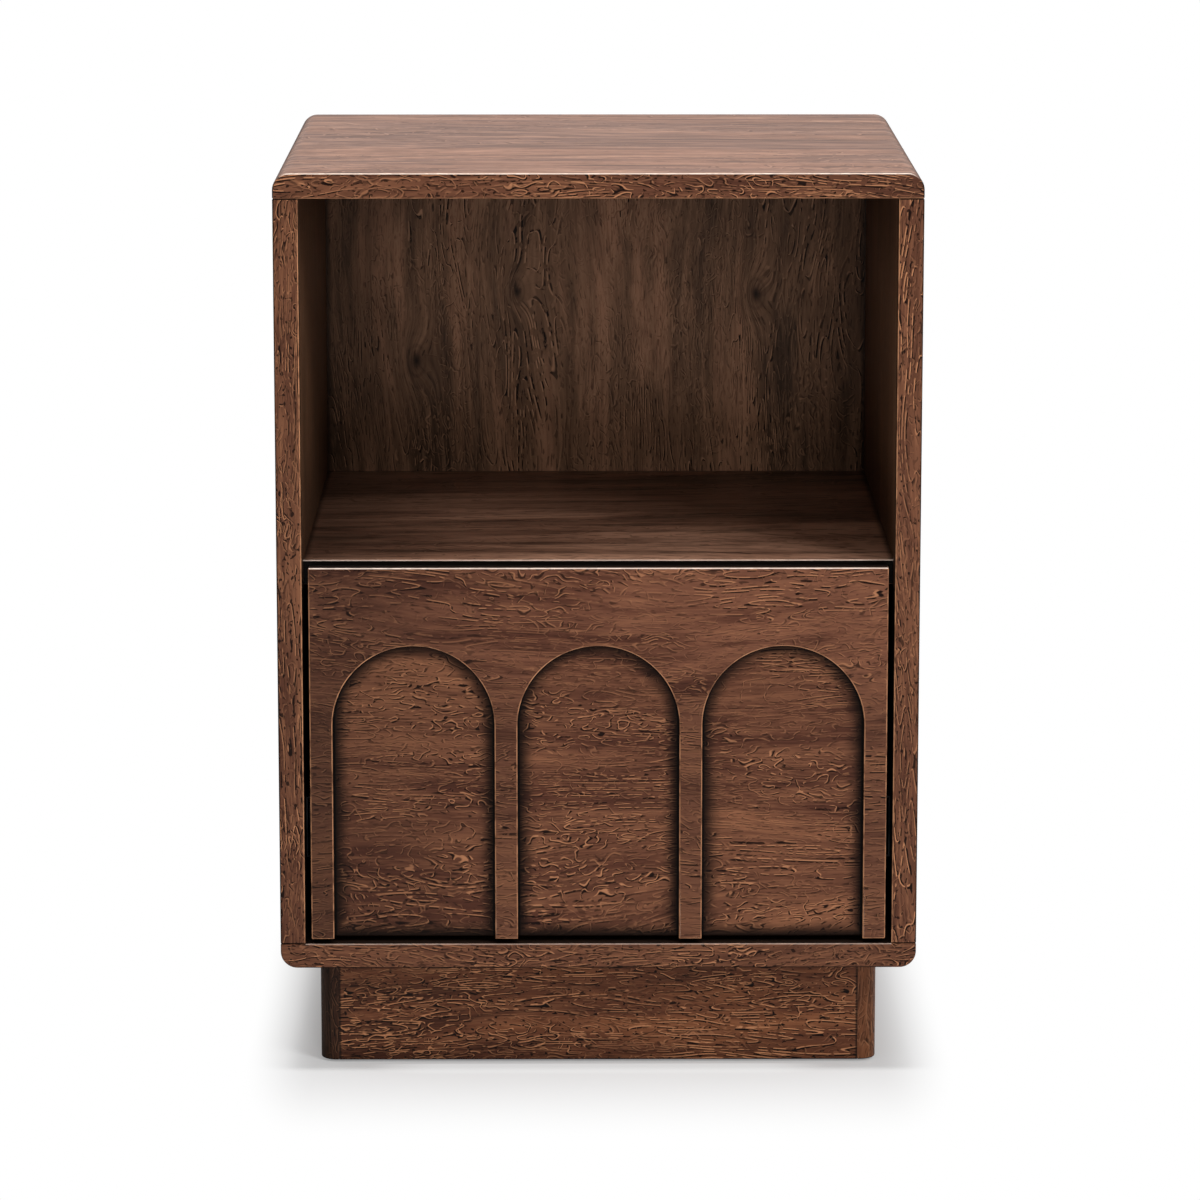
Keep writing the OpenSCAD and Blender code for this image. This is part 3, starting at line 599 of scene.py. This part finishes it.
def knots_group(knots):
    """Bends the grain of an upright panel round its knots, each an x, a z and a radius in metres."""
    outputs = [("Vector", VECTOR), ("Knot", NUMBER), ("Calm", NUMBER)]
    group, given, result = new_group("panel_knots", [("Vector", VECTOR, None)], outputs)
    place = axes_of(group, given["Vector"])

    def fading(square, fall):
        return maths(group, "EXPONENT", maths(group, "MULTIPLY", square, fall))

    bends = []
    hearts = []
    calms = []
    for knot_x, knot_z, radius in knots:
        across = maths(group, "DIVIDE", maths(group, "SUBTRACT", place["X"], knot_x), radius)
        along = maths(group, "SUBTRACT", place["Z"], knot_z)
        along = maths(group, "DIVIDE", along, radius * KNOT_LENGTH)
        square = maths(group, "MULTIPLY", across, across)
        square = maths(group, "ADD", square, maths(group, "MULTIPLY", along, along))
        bend = fading(square, KNOT_BEND_FADE)
        bends.append(maths(group, "MULTIPLY", bend, radius * KNOT_BEND))
        rings = maths(group, "SINE", maths(group, "MULTIPLY", maths(group, "SQRT", square), KNOT_RINGS))
        rings = maths(group, "MULTIPLY", rings, fading(square, KNOT_RING_FADE))
        rings = maths(group, "MULTIPLY", rings, KNOT_RING_SHARE, clamp=True)
        hearts.append(maths(group, "MAXIMUM", fading(square, KNOT_HEART_FADE), rings))
        calms.append(fading(square, KNOT_CALM_FADE))
    shift = group.nodes.new("ShaderNodeCombineXYZ")
    group.links.new(total_of(group, bends), shift.inputs["X"])
    group.links.new(vector_maths(group, "ADD", given["Vector"], shift.outputs[0]), result["Vector"])
    group.links.new(total_of(group, hearts), result["Knot"])
    group.links.new(total_of(group, calms, clamp=True), result["Calm"])
    return group


def metal_marks_group():
    """Rolled sheet metal: fine lines along the vector's X, and faint clouds."""
    group, given, result = new_group(
        "metal_marks",
        [
            ("Vector", VECTOR, None),
            ("Base", COLOUR, (0.5, 0.5, 0.5, 1.0)),
            ("Dull", COLOUR, (0.3, 0.3, 0.3, 1.0)),
            ("Bright", COLOUR, (0.9, 0.9, 0.9, 1.0)),
            ("Roughness", NUMBER, 0.3),
        ],
        SURFACE,
    )
    vector = given["Vector"]
    rolled = noise(group, vector, ROLLED_WAVES, detail=2.0)[0]
    cloud = noise(group, vector, CLOUD_WAVES, detail=3.0, distortion=0.4)[0]
    dull = span(group, cloud, *CLOUD_SPAN, 0.0, CLOUD_DULL)
    bright = span(group, rolled, *ROLLED_SPAN, 0.0, ROLLED_BRIGHT)
    colour = mixed(group, dull, given["Base"], given["Dull"])
    colour = mixed(group, bright, colour, given["Bright"])
    clouded = span(group, cloud, *CLOUD_SPAN, *CLOUD_ROUGHNESS)
    rough = maths(group, "ADD", given["Roughness"], clouded)
    group.links.new(colour, result["Color"])
    group.links.new(rough, result["Roughness"])
    group.links.new(rolled, result["Height"])
    return group


def moulded_group():
    """Moulded plastic or rubber: a fine matt grain with scuffs and a little dust."""
    group, given, result = new_group(
        "moulded_grain",
        [("Vector", VECTOR, None), ("Base", COLOUR, BLACK), ("Roughness", NUMBER, 0.5)],
        SURFACE,
    )
    vector = given["Vector"]
    grain = noise(group, vector, MOULD_WAVES, detail=1.0)[0]
    scuff = noise(group, vector, SCUFF_WAVES, detail=3.0, distortion=0.6)[0]
    dust = span(group, scuff, *SCUFF_SPAN, 0.0, DUST_SHARE)
    group.links.new(mixed(group, dust, given["Base"], DUST), result["Color"])
    group.links.new(maths(group, "ADD", given["Roughness"], dust), result["Roughness"])
    group.links.new(grain, result["Height"])
    return group


WOOD_FIGURE = wood_figure_group()
EASED_ARRIS = arris_group()
DARK_ENDS_AND_SHADE_FACES = dark_ends_and_shade_group()
ARCH_SHADE = arch_shade_group()
PANEL_KNOTS = knots_group(BACK_KNOTS)
METAL_MARKS = metal_marks_group()
MOULDED_GRAIN = moulded_group()

# Turns that bring each grain direction to the pattern's X.
GRAIN_TURN = {
    "across": (0.0, 0.0, 0.0),
    "upright": (0.0, math.radians(90.0), 0.0),
    "deep": (0.0, 0.0, math.radians(-90.0)),
}


def blank_material(name):
    """A material with one Principled shader and the piece's own coordinates."""
    material = bpy.data.materials.new(name)
    material.use_nodes = True
    tree = material.node_tree
    shader = tree.nodes["Principled BSDF"]
    places = tree.nodes.new("ShaderNodeTexCoord").outputs
    return material, tree, shader, places


def laid(tree, vector, grain, offset):
    """Turns a pattern to the grain and moves it, so that no two boards look alike."""
    node = tree.nodes.new("ShaderNodeMapping")
    node.inputs["Location"].default_value = offset
    node.inputs["Rotation"].default_value = GRAIN_TURN[grain]
    tree.links.new(vector, node.inputs["Vector"])
    return node.outputs[0]


def turned_normal(tree, places, grain):
    """The surface's own direction, turned as the pattern is."""
    node = tree.nodes.new("ShaderNodeMapping")
    node.vector_type = "VECTOR"
    node.inputs["Rotation"].default_value = GRAIN_TURN[grain]
    tree.links.new(places["Normal"], node.inputs["Vector"])
    return node.outputs[0]


def facing_share(tree, places, axis):
    """1 where a board faces along the axis, to either side, and 0 on its other faces."""
    facing = axes_of(tree, places["Normal"])
    return span(tree, maths(tree, "ABSOLUTE", facing[axis]), *BROAD_FACE)


def drawn_out(tree, level, vector):
    """Draws the figure out to long streaks on level faces."""
    stretch = tree.nodes.new("ShaderNodeCombineXYZ")
    for axis, share in enumerate(FLAT_STRETCH):
        scale = maths(tree, "ADD", 1.0, maths(tree, "MULTIPLY", level, share - 1.0))
        tree.links.new(scale, stretch.inputs[axis])
    return vector_maths(tree, "MULTIPLY", vector, stretch.outputs[0])


def blend_settings(tree, settings, share, wanted):
    """Goes from the usual values of the figure to the wanted ones by a share."""
    for label, value in wanted.items():
        usual = settings.get(label, 1.0)
        settings[label] = maths(tree, "ADD", usual, maths(tree, "MULTIPLY", share, value - usual))


def finish_surface(tree, shader, marks, relief, colour=None, roughness=None, height=None):
    """Feeds colour, roughness and relief to the shader, from a group's outputs unless others are given."""
    tree.links.new(colour or marks["Color"], shader.inputs["Base Color"])
    tree.links.new(roughness or marks["Roughness"], shader.inputs["Roughness"])
    strength, depth = relief
    bump = tree.nodes.new("ShaderNodeBump")
    bump.inputs["Strength"].default_value = strength
    bump.inputs["Distance"].default_value = depth
    tree.links.new(height or marks["Height"], bump.inputs["Height"])
    tree.links.new(bump.outputs[0], shader.inputs["Normal"])


def walnut(name, grain, offset, colours=WALNUT, figure=None, arris=None, dark_ends_and_shade=None, **look):
    """Satin lacquered dark walnut.

    figure, arris and dark_ends_and_shade hold values for those groups. look may hold:
    shade, a share of the dark colour all over; fades, each an axis, a start, an end and the share of the dark
    colour there, which paints shade into corners and under parts, darkens joints, and darkens some boards
    towards one end;
    level and broad, values of the figure on level faces and on faces to the sides; bleach, the share by which
    level faces are painted lighter as a sheen; inner_shade_tint, the share of a greyer tint that inner faces
    take as painted shade; special, knots or arches, the arches with their painted recess shade.
    """
    material, tree, shader, places = blank_material(name)
    own = {"Normal": places["Normal"], "Vector": places["Object"]}
    vector = own["Vector"]
    special = look.get("special")
    settings = {**colours, **(figure or {})}
    if special == "knots":
        bent = place_group(tree, PANEL_KNOTS, {"Vector": vector})
        vector = bent["Vector"]
        busy = maths(tree, "SUBTRACT", 1.0, maths(tree, "MULTIPLY", bent["Calm"], KNOT_CALM))
        settings["Lines"] = maths(tree, "MULTIPLY", busy, settings["Lines"])
    vector = laid(tree, vector, grain, offset)
    normal = turned_normal(tree, places, grain)
    if look.get("level"):
        level = facing_share(tree, places, "Z")
        vector = drawn_out(tree, level, vector)
        blend_settings(tree, settings, level, look["level"])
    if look.get("broad"):
        blend_settings(tree, settings, facing_share(tree, places, "X"), look["broad"])
    wood = place_group(tree, WOOD_FIGURE, {"Vector": vector, "Normal": normal, **settings})
    colour = wood["Color"]
    height = wood["Height"]
    dull = 0.0
    if look.get("level"):
        smooth = maths(tree, "SUBTRACT", 1.0, maths(tree, "MULTIPLY", level, FLAT_CALM))
        height = maths(tree, "MULTIPLY", height, smooth)
    # Level faces are painted lighter as a sheen.
    if look.get("bleach"):
        colour = mixed(tree, maths(tree, "MULTIPLY", level, look["bleach"]), colour, PAINTED_SHEEN)
    if look.get("shade"):
        colour = mixed(tree, look["shade"], colour, DARK_TONE_AND_SHADE)
    # Fades darken towards one end: painted shade in corners and under parts, dark joints, and darker tone on
    # some boards.
    if look.get("fades"):
        place = axes_of(tree, own["Vector"])
        for axis, start, end, share in look["fades"]:
            colour = mixed(tree, span(tree, place[axis], start, end, 0.0, share), colour, DARK_TONE_AND_SHADE)
    if special == "knots":
        heart = maths(tree, "MULTIPLY", bent["Knot"], KNOT_HEART_SHARE, clamp=True)
        colour = mixed(tree, heart, colour, colours["Line Dark"])
        height = maths(tree, "MULTIPLY", height, maths(tree, "SUBTRACT", 1.0, heart))
    # The arches' recesses take painted shade, and a painted shadow line along their edges.
    if special == "arches":
        recess_shade = place_group(tree, ARCH_SHADE, {"Vector": own["Vector"]})
        colour = mixed(tree, maths(tree, "MULTIPLY", recess_shade["Recess Shade"], RECESS_SHADE_SHARE), colour, DARK_TONE_AND_SHADE)
        colour = mixed(tree, maths(tree, "MULTIPLY", recess_shade["Seam"], SHADOW_LINE_SHARE), colour, BLACK)
        dull = maths(tree, "MULTIPLY", recess_shade["Recess Shade"], RECESS_SHADE_DULLNESS)
    # Eased arrises: light lines of painted highlight with some wear, and dark lines of painted shade.
    if arris:
        lines = place_group(tree, EASED_ARRIS, {**own, **arris})
        highlight_and_wear = mixed(tree, lines["Rising"], ARRIS_OTHER, ARRIS_UPPER)
        colour = mixed(tree, lines["Dark"], colour, DARK_ENDS_AND_SHADE)
        dull = maths(tree, "MAXIMUM", dull, maths(tree, "MULTIPLY", lines["Dark"], ARRIS_DULLNESS))
        colour = mixed(tree, lines["Light"], colour, highlight_and_wear)
    # Dark end grain, and painted shade on faces in gaps and inside the compartment.
    if dark_ends_and_shade:
        faces = place_group(tree, DARK_ENDS_AND_SHADE_FACES, {**own, **dark_ends_and_shade})
        # Inner faces take a greyer tint as painted shade.
        if look.get("inner_shade_tint"):
            colour = mixed(tree, maths(tree, "MULTIPLY", faces["Inside"], look["inner_shade_tint"]), colour, INNER_SHADE_TINT)
        colour = mixed(tree, faces["Dark Ends And Shade"], colour, DARK_ENDS_AND_SHADE)
        dull = maths(tree, "MAXIMUM", dull, maths(tree, "MULTIPLY", faces["Dark Ends And Shade"], DARK_ENDS_AND_SHADE_DULLNESS))
    rough = maths(tree, "ADD", maths(tree, "ADD", wood["Roughness"], LACQUER_ROUGHNESS), dull)
    finish_surface(tree, shader, wood, WALNUT_RELIEF, colour, rough, height)
    shader.inputs["Specular IOR Level"].default_value = LACQUER_SPECULAR
    shader.inputs["Coat Weight"].default_value = LACQUER_COAT
    shader.inputs["Coat Roughness"].default_value = LACQUER_COAT_ROUGHNESS
    return material


def pale_wood(name, grain, offset, colours, roughness, swirls=0.1):
    """Pale wood under a clear matt lacquer, or raw."""
    material, tree, shader, places = blank_material(name)
    vector = laid(tree, places["Object"], grain, offset)
    normal = turned_normal(tree, places, grain)
    figure = {"Swirls": swirls, "Lines": 0.3, "Streaks": 0.8}
    wood = place_group(tree, WOOD_FIGURE, {"Vector": vector, "Normal": normal, **figure, **colours})
    rough = maths(tree, "ADD", wood["Roughness"], roughness)
    finish_surface(tree, shader, wood, PALE_RELIEF, roughness=rough)
    return material


def metal(name, grain, offset, base, roughness, strength):
    """Plated or polished steel."""
    material, tree, shader, places = blank_material(name)
    vector = laid(tree, places["Object"], grain, offset)
    dull = tuple(tone * DULL_METAL for tone in base[:3]) + (1.0,)
    bright = tuple(min(tone * BRIGHT_METAL, 1.0) for tone in base[:3]) + (1.0,)
    settings = {"Vector": vector, "Base": base, "Dull": dull, "Bright": bright, "Roughness": roughness}
    marks = place_group(tree, METAL_MARKS, settings)
    finish_surface(tree, shader, marks, (strength, METAL_DEPTH))
    shader.inputs["Metallic"].default_value = 1.0
    return material


def moulded(name, offset, base, roughness):
    """Moulded plastic or rubber."""
    material, tree, shader, places = blank_material(name)
    vector = laid(tree, places["Object"], "across", offset)
    grain = place_group(tree, MOULDED_GRAIN, {"Vector": vector, "Base": base, "Roughness": roughness})
    finish_surface(tree, shader, grain, MOULDED_RELIEF)
    return material


def dress(material, *names):
    """Gives a finish to CAD pieces."""
    for name in names:
        for place in NODES[name].material_slots:
            place.material = material


def corner_shade(half_width, reach):
    """Painted shade in the two upright corners of the compartment, as fades along X."""
    right = ("X", half_width - reach, half_width, CORNER_SHADE)
    left = ("X", reach - half_width, -half_width, CORNER_SHADE)
    return right, left


def dress_carcass():
    """Top, bottom, sides, shelf and back."""
    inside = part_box("right_side")[0].x
    edge = {"Lines": 1.9, "Pits": 0.9, "Variety": 0.6, "Swirls": 0.85}
    # Dark end grain, whose dark reaches round the rounded corners as painted shade.
    end_grain_and_corner_shade = {"Ends": 0.45, "Ends From": 0.30}
    top = walnut(
        "walnut_top",
        "across",
        (0.31, 0.12, 0.40),
        figure=edge,
        arris={"Up": 0.98, "Down": 0.5, "Outward": -0.85},
        dark_ends_and_shade=end_grain_and_corner_shade,
        shade=0.10,
        level={"Lines": 0.85, "Pits": 0.0, "Streaks": 4.4, "Variety": 2.6},
        # Painted sheen: the level top face is lighter.
        bleach=0.24,
    )
    bottom = walnut(
        "walnut_bottom",
        "across",
        (2.17, 0.52, 0.16),
        figure=edge,
        arris={"Up": 0.28, "Down": -0.9, "Outward": -0.9, "Half Length": inside},
        # Its top face is dark with painted shade.
        dark_ends_and_shade={"Top": 0.92, **end_grain_and_corner_shade},
        shade=0.16,
    )
    sides = {
        "arris": {"Up": -0.9, "Down": -0.9, "Outward": -0.75, "Inward": 0.8},
        # Inner faces are dark with painted shade near the front edge, below the shelf and at the compartment's
        # foot and head.
        "dark_ends_and_shade": {"Inner": 0.92, "Reach": 0.008, "Below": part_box("shelf")[0].z, "Foot": 0.46, "Head": 0.42},
        "broad": {"Lines": 1.1, "Pits": 0.3, "Swirls": 0.3, "Streaks": 1.2, "Variety": 0.9},
        # Inner faces take a greyer tint as painted shade.
        "inner_shade_tint": 0.42,
    }
    busy_edge = {"Lines": 2.5, "Pits": 0.9, "Variety": 0.6, "Swirls": 0.5, "Streaks": 1.4}
    calm_edge = {**busy_edge, "Lines": 2.1}
    left = walnut("walnut_left_side", "upright", (0.77, 1.31, 0.64), figure=busy_edge, shade=0.16, **sides)
    right = walnut("walnut_right_side", "upright", (3.18, 2.05, 0.41), figure=calm_edge, shade=0.05, **sides)
    shelf = walnut(
        "walnut_shelf",
        "across",
        (4.63, 1.87, 0.97),
        colours=SHELF_WALNUT,
        arris={"Up": 0.6},
        # Its front face is dark with painted shade, for the gap behind the drawer front.
        dark_ends_and_shade={"Front": 1.0},
        shade=0.10,
        level={"Lines": 0.45, "Streaks": 2.2, "Variety": 1.2},
        # Painted shade: darker towards the back, along the back edge and in the upright corners; also darker
        # towards the left end.
        fades=(
            ("Y", -0.17, 0.04, 0.22),
            ("Y", 0.192, 0.201, 0.5),
            ("X", -0.09, -0.205, 0.48),
            *corner_shade(inside, 0.005),
        ),
    )
    back = walnut(
        "walnut_back",
        "upright",
        (5.20, 0.33, 2.91),
        colours=BACK_WALNUT,
        figure={"Swirls": 0.45, "Lines": 1.15, "Streaks": 1.4, "Variety": 0.8},
        # Painted shade: darker near the shelf, towards the top and under the top panel, towards both sides and
        # in the corners.
        fades=(
            ("Z", 0.48, 0.38, 0.32),
            ("Z", 0.585, 0.640, 0.24),
            ("Z", 0.630, 0.637, 0.6),
            ("X", 0.12, 0.19, 0.26),
            ("X", -0.12, -0.19, 0.48),
            *corner_shade(inside, 0.006),
        ),
        special="knots",
    )
    dress(top, "top_panel")
    dress(bottom, "bottom_panel")
    dress(left, "left_side")
    dress(right, "right_side")
    dress(shelf, "shelf")
    dress(back, "back_panel")


def dress_plinth():
    """Plinth boards, corner posts and what holds them."""
    boards = {
        "plinth_front_board": ("across", (6.05, 3.30, 1.78)),
        "plinth_rear_board": ("across", (7.72, 1.15, 2.36)),
        "plinth_left_board": ("deep", (8.31, 2.44, 0.71)),
        "plinth_right_board": ("deep", (9.64, 0.86, 1.27)),
    }
    strong = {"Lines": 2.4, "Pits": 1.0, "Variety": 0.9, "Swirls": 0.55}
    # Painted shadow on the plinth's upper end, under the bottom panel's overhang.
    under_panel_shade = ("Z", 0.0690, 0.0765, 0.80)
    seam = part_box("plinth_front_board")[1].x
    far, near, share = JOINT_DIRT
    board_ends = (("X", seam - far, seam - near, share), ("X", far - seam, near - seam, share))
    for board, (grain, offset) in boards.items():
        rim = {"Down": -0.9}
        darkening = (under_panel_shade,) + (board_ends if grain == "across" else ())
        finish = walnut(f"walnut_{board}", grain, offset, DEEP_WALNUT, figure=strong, arris=rim, fades=darkening)
        dress(finish, board)
    # Each post's offset, its share of the dark colour all over, and the tone of its outer arris, which is
    # painted shade when below 0.
    posts = {
        "front_left_post": ((1.14, 4.02, 3.33), 0.76, -0.5),
        "front_right_post": ((2.83, 3.71, 4.18), 0.18, 0.0),
        "rear_left_post": ((3.92, 4.66, 2.09), 0.2, 0.0),
        "rear_right_post": ((4.47, 5.13, 1.52), 0.1, 0.0),
    }
    for post, (offset, shade, outward) in posts.items():
        rim = {"Down": -0.9, "Outward": outward}
        darkening = (under_panel_shade,)
        finish = walnut(f"walnut_{post}", "upright", offset, DEEP_WALNUT, arris=rim, fades=darkening, shade=shade)
        dress(finish, post)
    dress(pale_wood("block_wood", "upright", (0.9, 0.4, 1.7), PALE_WOOD, 0.55), "plinth_blocks")
    dress(moulded("glide_plastic", (0.2, 0.1, 0.3), GLIDE_BROWN, 0.45), "floor_glides")


def dress_drawer():
    """Drawer front, its arches and the pale box behind it."""
    base = walnut(
        "walnut_front_base",
        "across",
        (1.66, 5.27, 0.817),
        figure={"Lines": 1.2, "Variety": 0.8},
        arris={"Up": -0.9},
        # Its ends and top are dark with painted shade, for the gaps round the drawer front.
        dark_ends_and_shade={"Ends": 0.9, "Top": 0.55},
        fades=(("X", -0.06, -0.15, 0.22),),
        special="arches",
    )
    arches = walnut(
        "walnut_arches",
        "across",
        (0.52, 6.41, 3.07),
        figure={"Swirls": 0.7, "Lines": 1.05, "Variety": 0.65, "Middle": linear(121, 77, 57)},
        arris={"Up": 0.98, "Down": 0.75, "Outward": 0.75, "Inward": 0.75},
        # Its ends and top are dark with painted shade, in the side gaps, the arches' reveals and on the top
        # edge.
        dark_ends_and_shade={"Ends": 0.9, "Top": 0.9},
        fades=(("X", -0.02, -0.20, 0.42), ("Z", 0.315, 0.25, 0.27)),
    )
    dress(base, "drawer_front_base")
    dress(arches, "drawer_arch_overlay")
    walls = {
        "left_wall": ("deep", (2.6, 0.8, 0.2)),
        "right_wall": ("deep", (3.1, 1.9, 1.1)),
        "inner_front": ("across", (4.2, 2.7, 2.3)),
        "rear_wall": ("across", (5.8, 3.3, 3.6)),
    }
    for wall, (grain, offset) in walls.items():
        dress(pale_wood(f"{wall}_wood", grain, offset, PALE_WOOD, 0.45), f"drawer_{wall}")
    plywood = pale_wood("drawer_plywood", "across", (6.4, 4.5, 0.5), PLYWOOD, 0.5, swirls=0.25)
    dress(plywood, "drawer_bottom")


def dress_fittings():
    """Dowels, screws and slides."""
    upright_beech = pale_wood("beech_upright", "upright", (0.3, 0.6, 0.9), BEECH, 0.6)
    level_beech = pale_wood("beech_level", "across", (1.2, 1.6, 1.9), BEECH, 0.6)
    dress(upright_beech, "top_dowels", "bottom_dowels")
    dress(level_beech, "shelf_dowels", "drawer_dowels")
    zinc = metal("screw_zinc", "across", (0.4, 0.2, 0.8), ZINC, 0.30, 0.05)
    dress(zinc, "plinth_screws", "drawer_front_screws", "cabinet_rail_screws", "drawer_rail_screws")
    sheet = metal("rail_steel", "deep", (1.4, 1.2, 0.3), BLACK_PLATING, 0.38, 0.10)
    cage = metal("cage_steel", "deep", (2.4, 0.7, 0.6), BLACK_PLATING, 0.42, 0.10)
    ball = metal("bearing_steel", "deep", (3.4, 0.1, 0.5), POLISHED_STEEL, 0.12, 0.0)
    for hand in ("left", "right"):
        for rail in ("cabinet_rail", "middle_rail", "drawer_rail"):
            dress(sheet, f"{hand}_{rail}")
        for row in ("outer", "inner"):
            dress(cage, f"{hand}_{row}_cage")
            dress(ball, f"{hand}_{row}_balls")
    dress(moulded("bumper_rubber", (0.7, 0.5, 0.2), BUMPER_GREY, 0.6), "rail_bumpers")


def make_world():
    """An even pale room that shows as white, with its white backdrop behind the object."""
    world = bpy.data.worlds.new("studio_room")
    bpy.context.scene.world = world
    world.use_nodes = True
    tree = world.node_tree
    room = tree.nodes["Background"]
    room.inputs["Color"].default_value = (1.0, 1.0, 1.0, 1.0)
    path = tree.nodes.new("ShaderNodeLightPath").outputs
    direction = axes_of(tree, tree.nodes.new("ShaderNodeTexCoord").outputs["Generated"])
    mirrored = span(tree, direction["Y"], *BACKDROP_EDGE, MIRRORED_ROOM, MIRRORED_BACKDROP)
    glossy = path["Is Glossy Ray"]
    strength = maths(tree, "MULTIPLY", maths(tree, "SUBTRACT", 1.0, glossy), AMBIENT)
    strength = maths(tree, "ADD", strength, maths(tree, "MULTIPLY", glossy, mirrored))
    seen = maths(tree, "MAXIMUM", path["Is Camera Ray"], path["Is Transmission Ray"])
    strength = maths(tree, "MAXIMUM", strength, seen)
    tree.links.new(strength, room.inputs["Strength"])


def floor_lift(tree, spot, corner):
    """How far the floor is lifted to white: by distance from the plinth, and along the plinth's front."""
    outside = vector_maths(tree, "ABSOLUTE", spot)
    outside = vector_maths(tree, "SUBTRACT", outside, (corner.x, corner.y, 0.0))
    outside = vector_maths(tree, "MAXIMUM", outside, (0.0, 0.0, 0.0))
    outside = vector_maths(tree, "MULTIPLY", outside, (FLOOR_SIDEWAYS, 1.0, 1.0))
    lift = span(tree, vector_maths(tree, "LENGTH", outside), 0.0, FLOOR_REACH, FLOOR_LIFT, 1.0)
    place = axes_of(tree, spot)
    before = maths(tree, "SUBTRACT", -corner.y, place["Y"])
    aside = maths(tree, "SUBTRACT", maths(tree, "ABSOLUTE", place["X"]), corner.x)
    begin = span(tree, before, *STRIP_BEGIN, 0.0, STRIP_LIFT)
    end = span(tree, before, *STRIP_END, STRIP_LIFT, 0.0)
    strip = maths(tree, "MINIMUM", begin, end)
    strip = maths(tree, "MULTIPLY", strip, span(tree, aside, *STRIP_SIDES, 1.0, 0.0))
    return maths(tree, "MAXIMUM", lift, strip)


def make_floor():
    """A pale floor that keeps the shadow near the plinth and is plain white further off."""
    mesh = bpy.data.meshes.new("studio_floor")
    shape = bmesh.new()
    bmesh.ops.create_grid(shape, x_segments=1, y_segments=1, size=FLOOR_SIZE / 2.0)
    shape.to_mesh(mesh)
    shape.free()
    floor = bpy.data.objects.new("studio_floor", mesh)
    bpy.context.scene.collection.objects.link(floor)
    material, tree, shader, places = blank_material("studio_floor")
    shader.inputs["Base Color"].default_value = FLOOR_COLOUR
    shader.inputs["Roughness"].default_value = FLOOR_ROUGHNESS
    shader.inputs["Specular IOR Level"].default_value = 0.0
    lift = floor_lift(tree, places["Object"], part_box("rear_right_post")[1])
    camera_ray = tree.nodes.new("ShaderNodeLightPath").outputs["Is Camera Ray"]
    glow = tree.nodes.new("ShaderNodeEmission")
    glow.inputs["Strength"].default_value = 1.0
    choose = tree.nodes.new("ShaderNodeMixShader")
    tree.links.new(maths(tree, "MULTIPLY", lift, camera_ray), choose.inputs[0])
    tree.links.new(shader.outputs[0], choose.inputs[1])
    tree.links.new(glow.outputs[0], choose.inputs[2])
    tree.links.new(choose.outputs[0], tree.nodes["Material Output"].inputs["Surface"])
    mesh.materials.append(material)


def make_lamps():
    """Soft boxes: upper right, level in front, and overhead."""
    for name, lamp in LAMPS.items():
        light = bpy.data.lights.new(name, "AREA")
        light.shape = "RECTANGLE"
        light.size, light.size_y = lamp["size"]
        light.energy = lamp["watts"]
        body = bpy.data.objects.new(name, light)
        body.location = lamp["place"]
        beam = Vector(LAMP_AIM) - Vector(lamp["place"])
        body.rotation_euler = beam.to_track_quat("-Z", "Y").to_euler()
        body.visible_glossy = lamp.get("mirrored", True)
        bpy.context.scene.collection.objects.link(body)


def make_camera():
    """The photograph's view, with a pitched camera and no shift."""
    lens = bpy.data.cameras.new("photo_camera")
    lens.sensor_width = SENSOR_WIDTH
    lens.lens = CAMERA_LENS
    camera = bpy.data.objects.new("photo_camera", lens)
    camera.location = CAMERA_PLACE
    camera.rotation_euler = (math.radians(90.0 - CAMERA_PITCH), 0.0, math.radians(-CAMERA_TURN))
    bpy.context.scene.collection.objects.link(camera)
    bpy.context.scene.camera = camera


make_camera()
make_world()
make_floor()
make_lamps()
dress_carcass()
dress_plinth()
dress_drawer()
dress_fittings()
bpy.context.scene.view_settings.view_transform = "Standard"
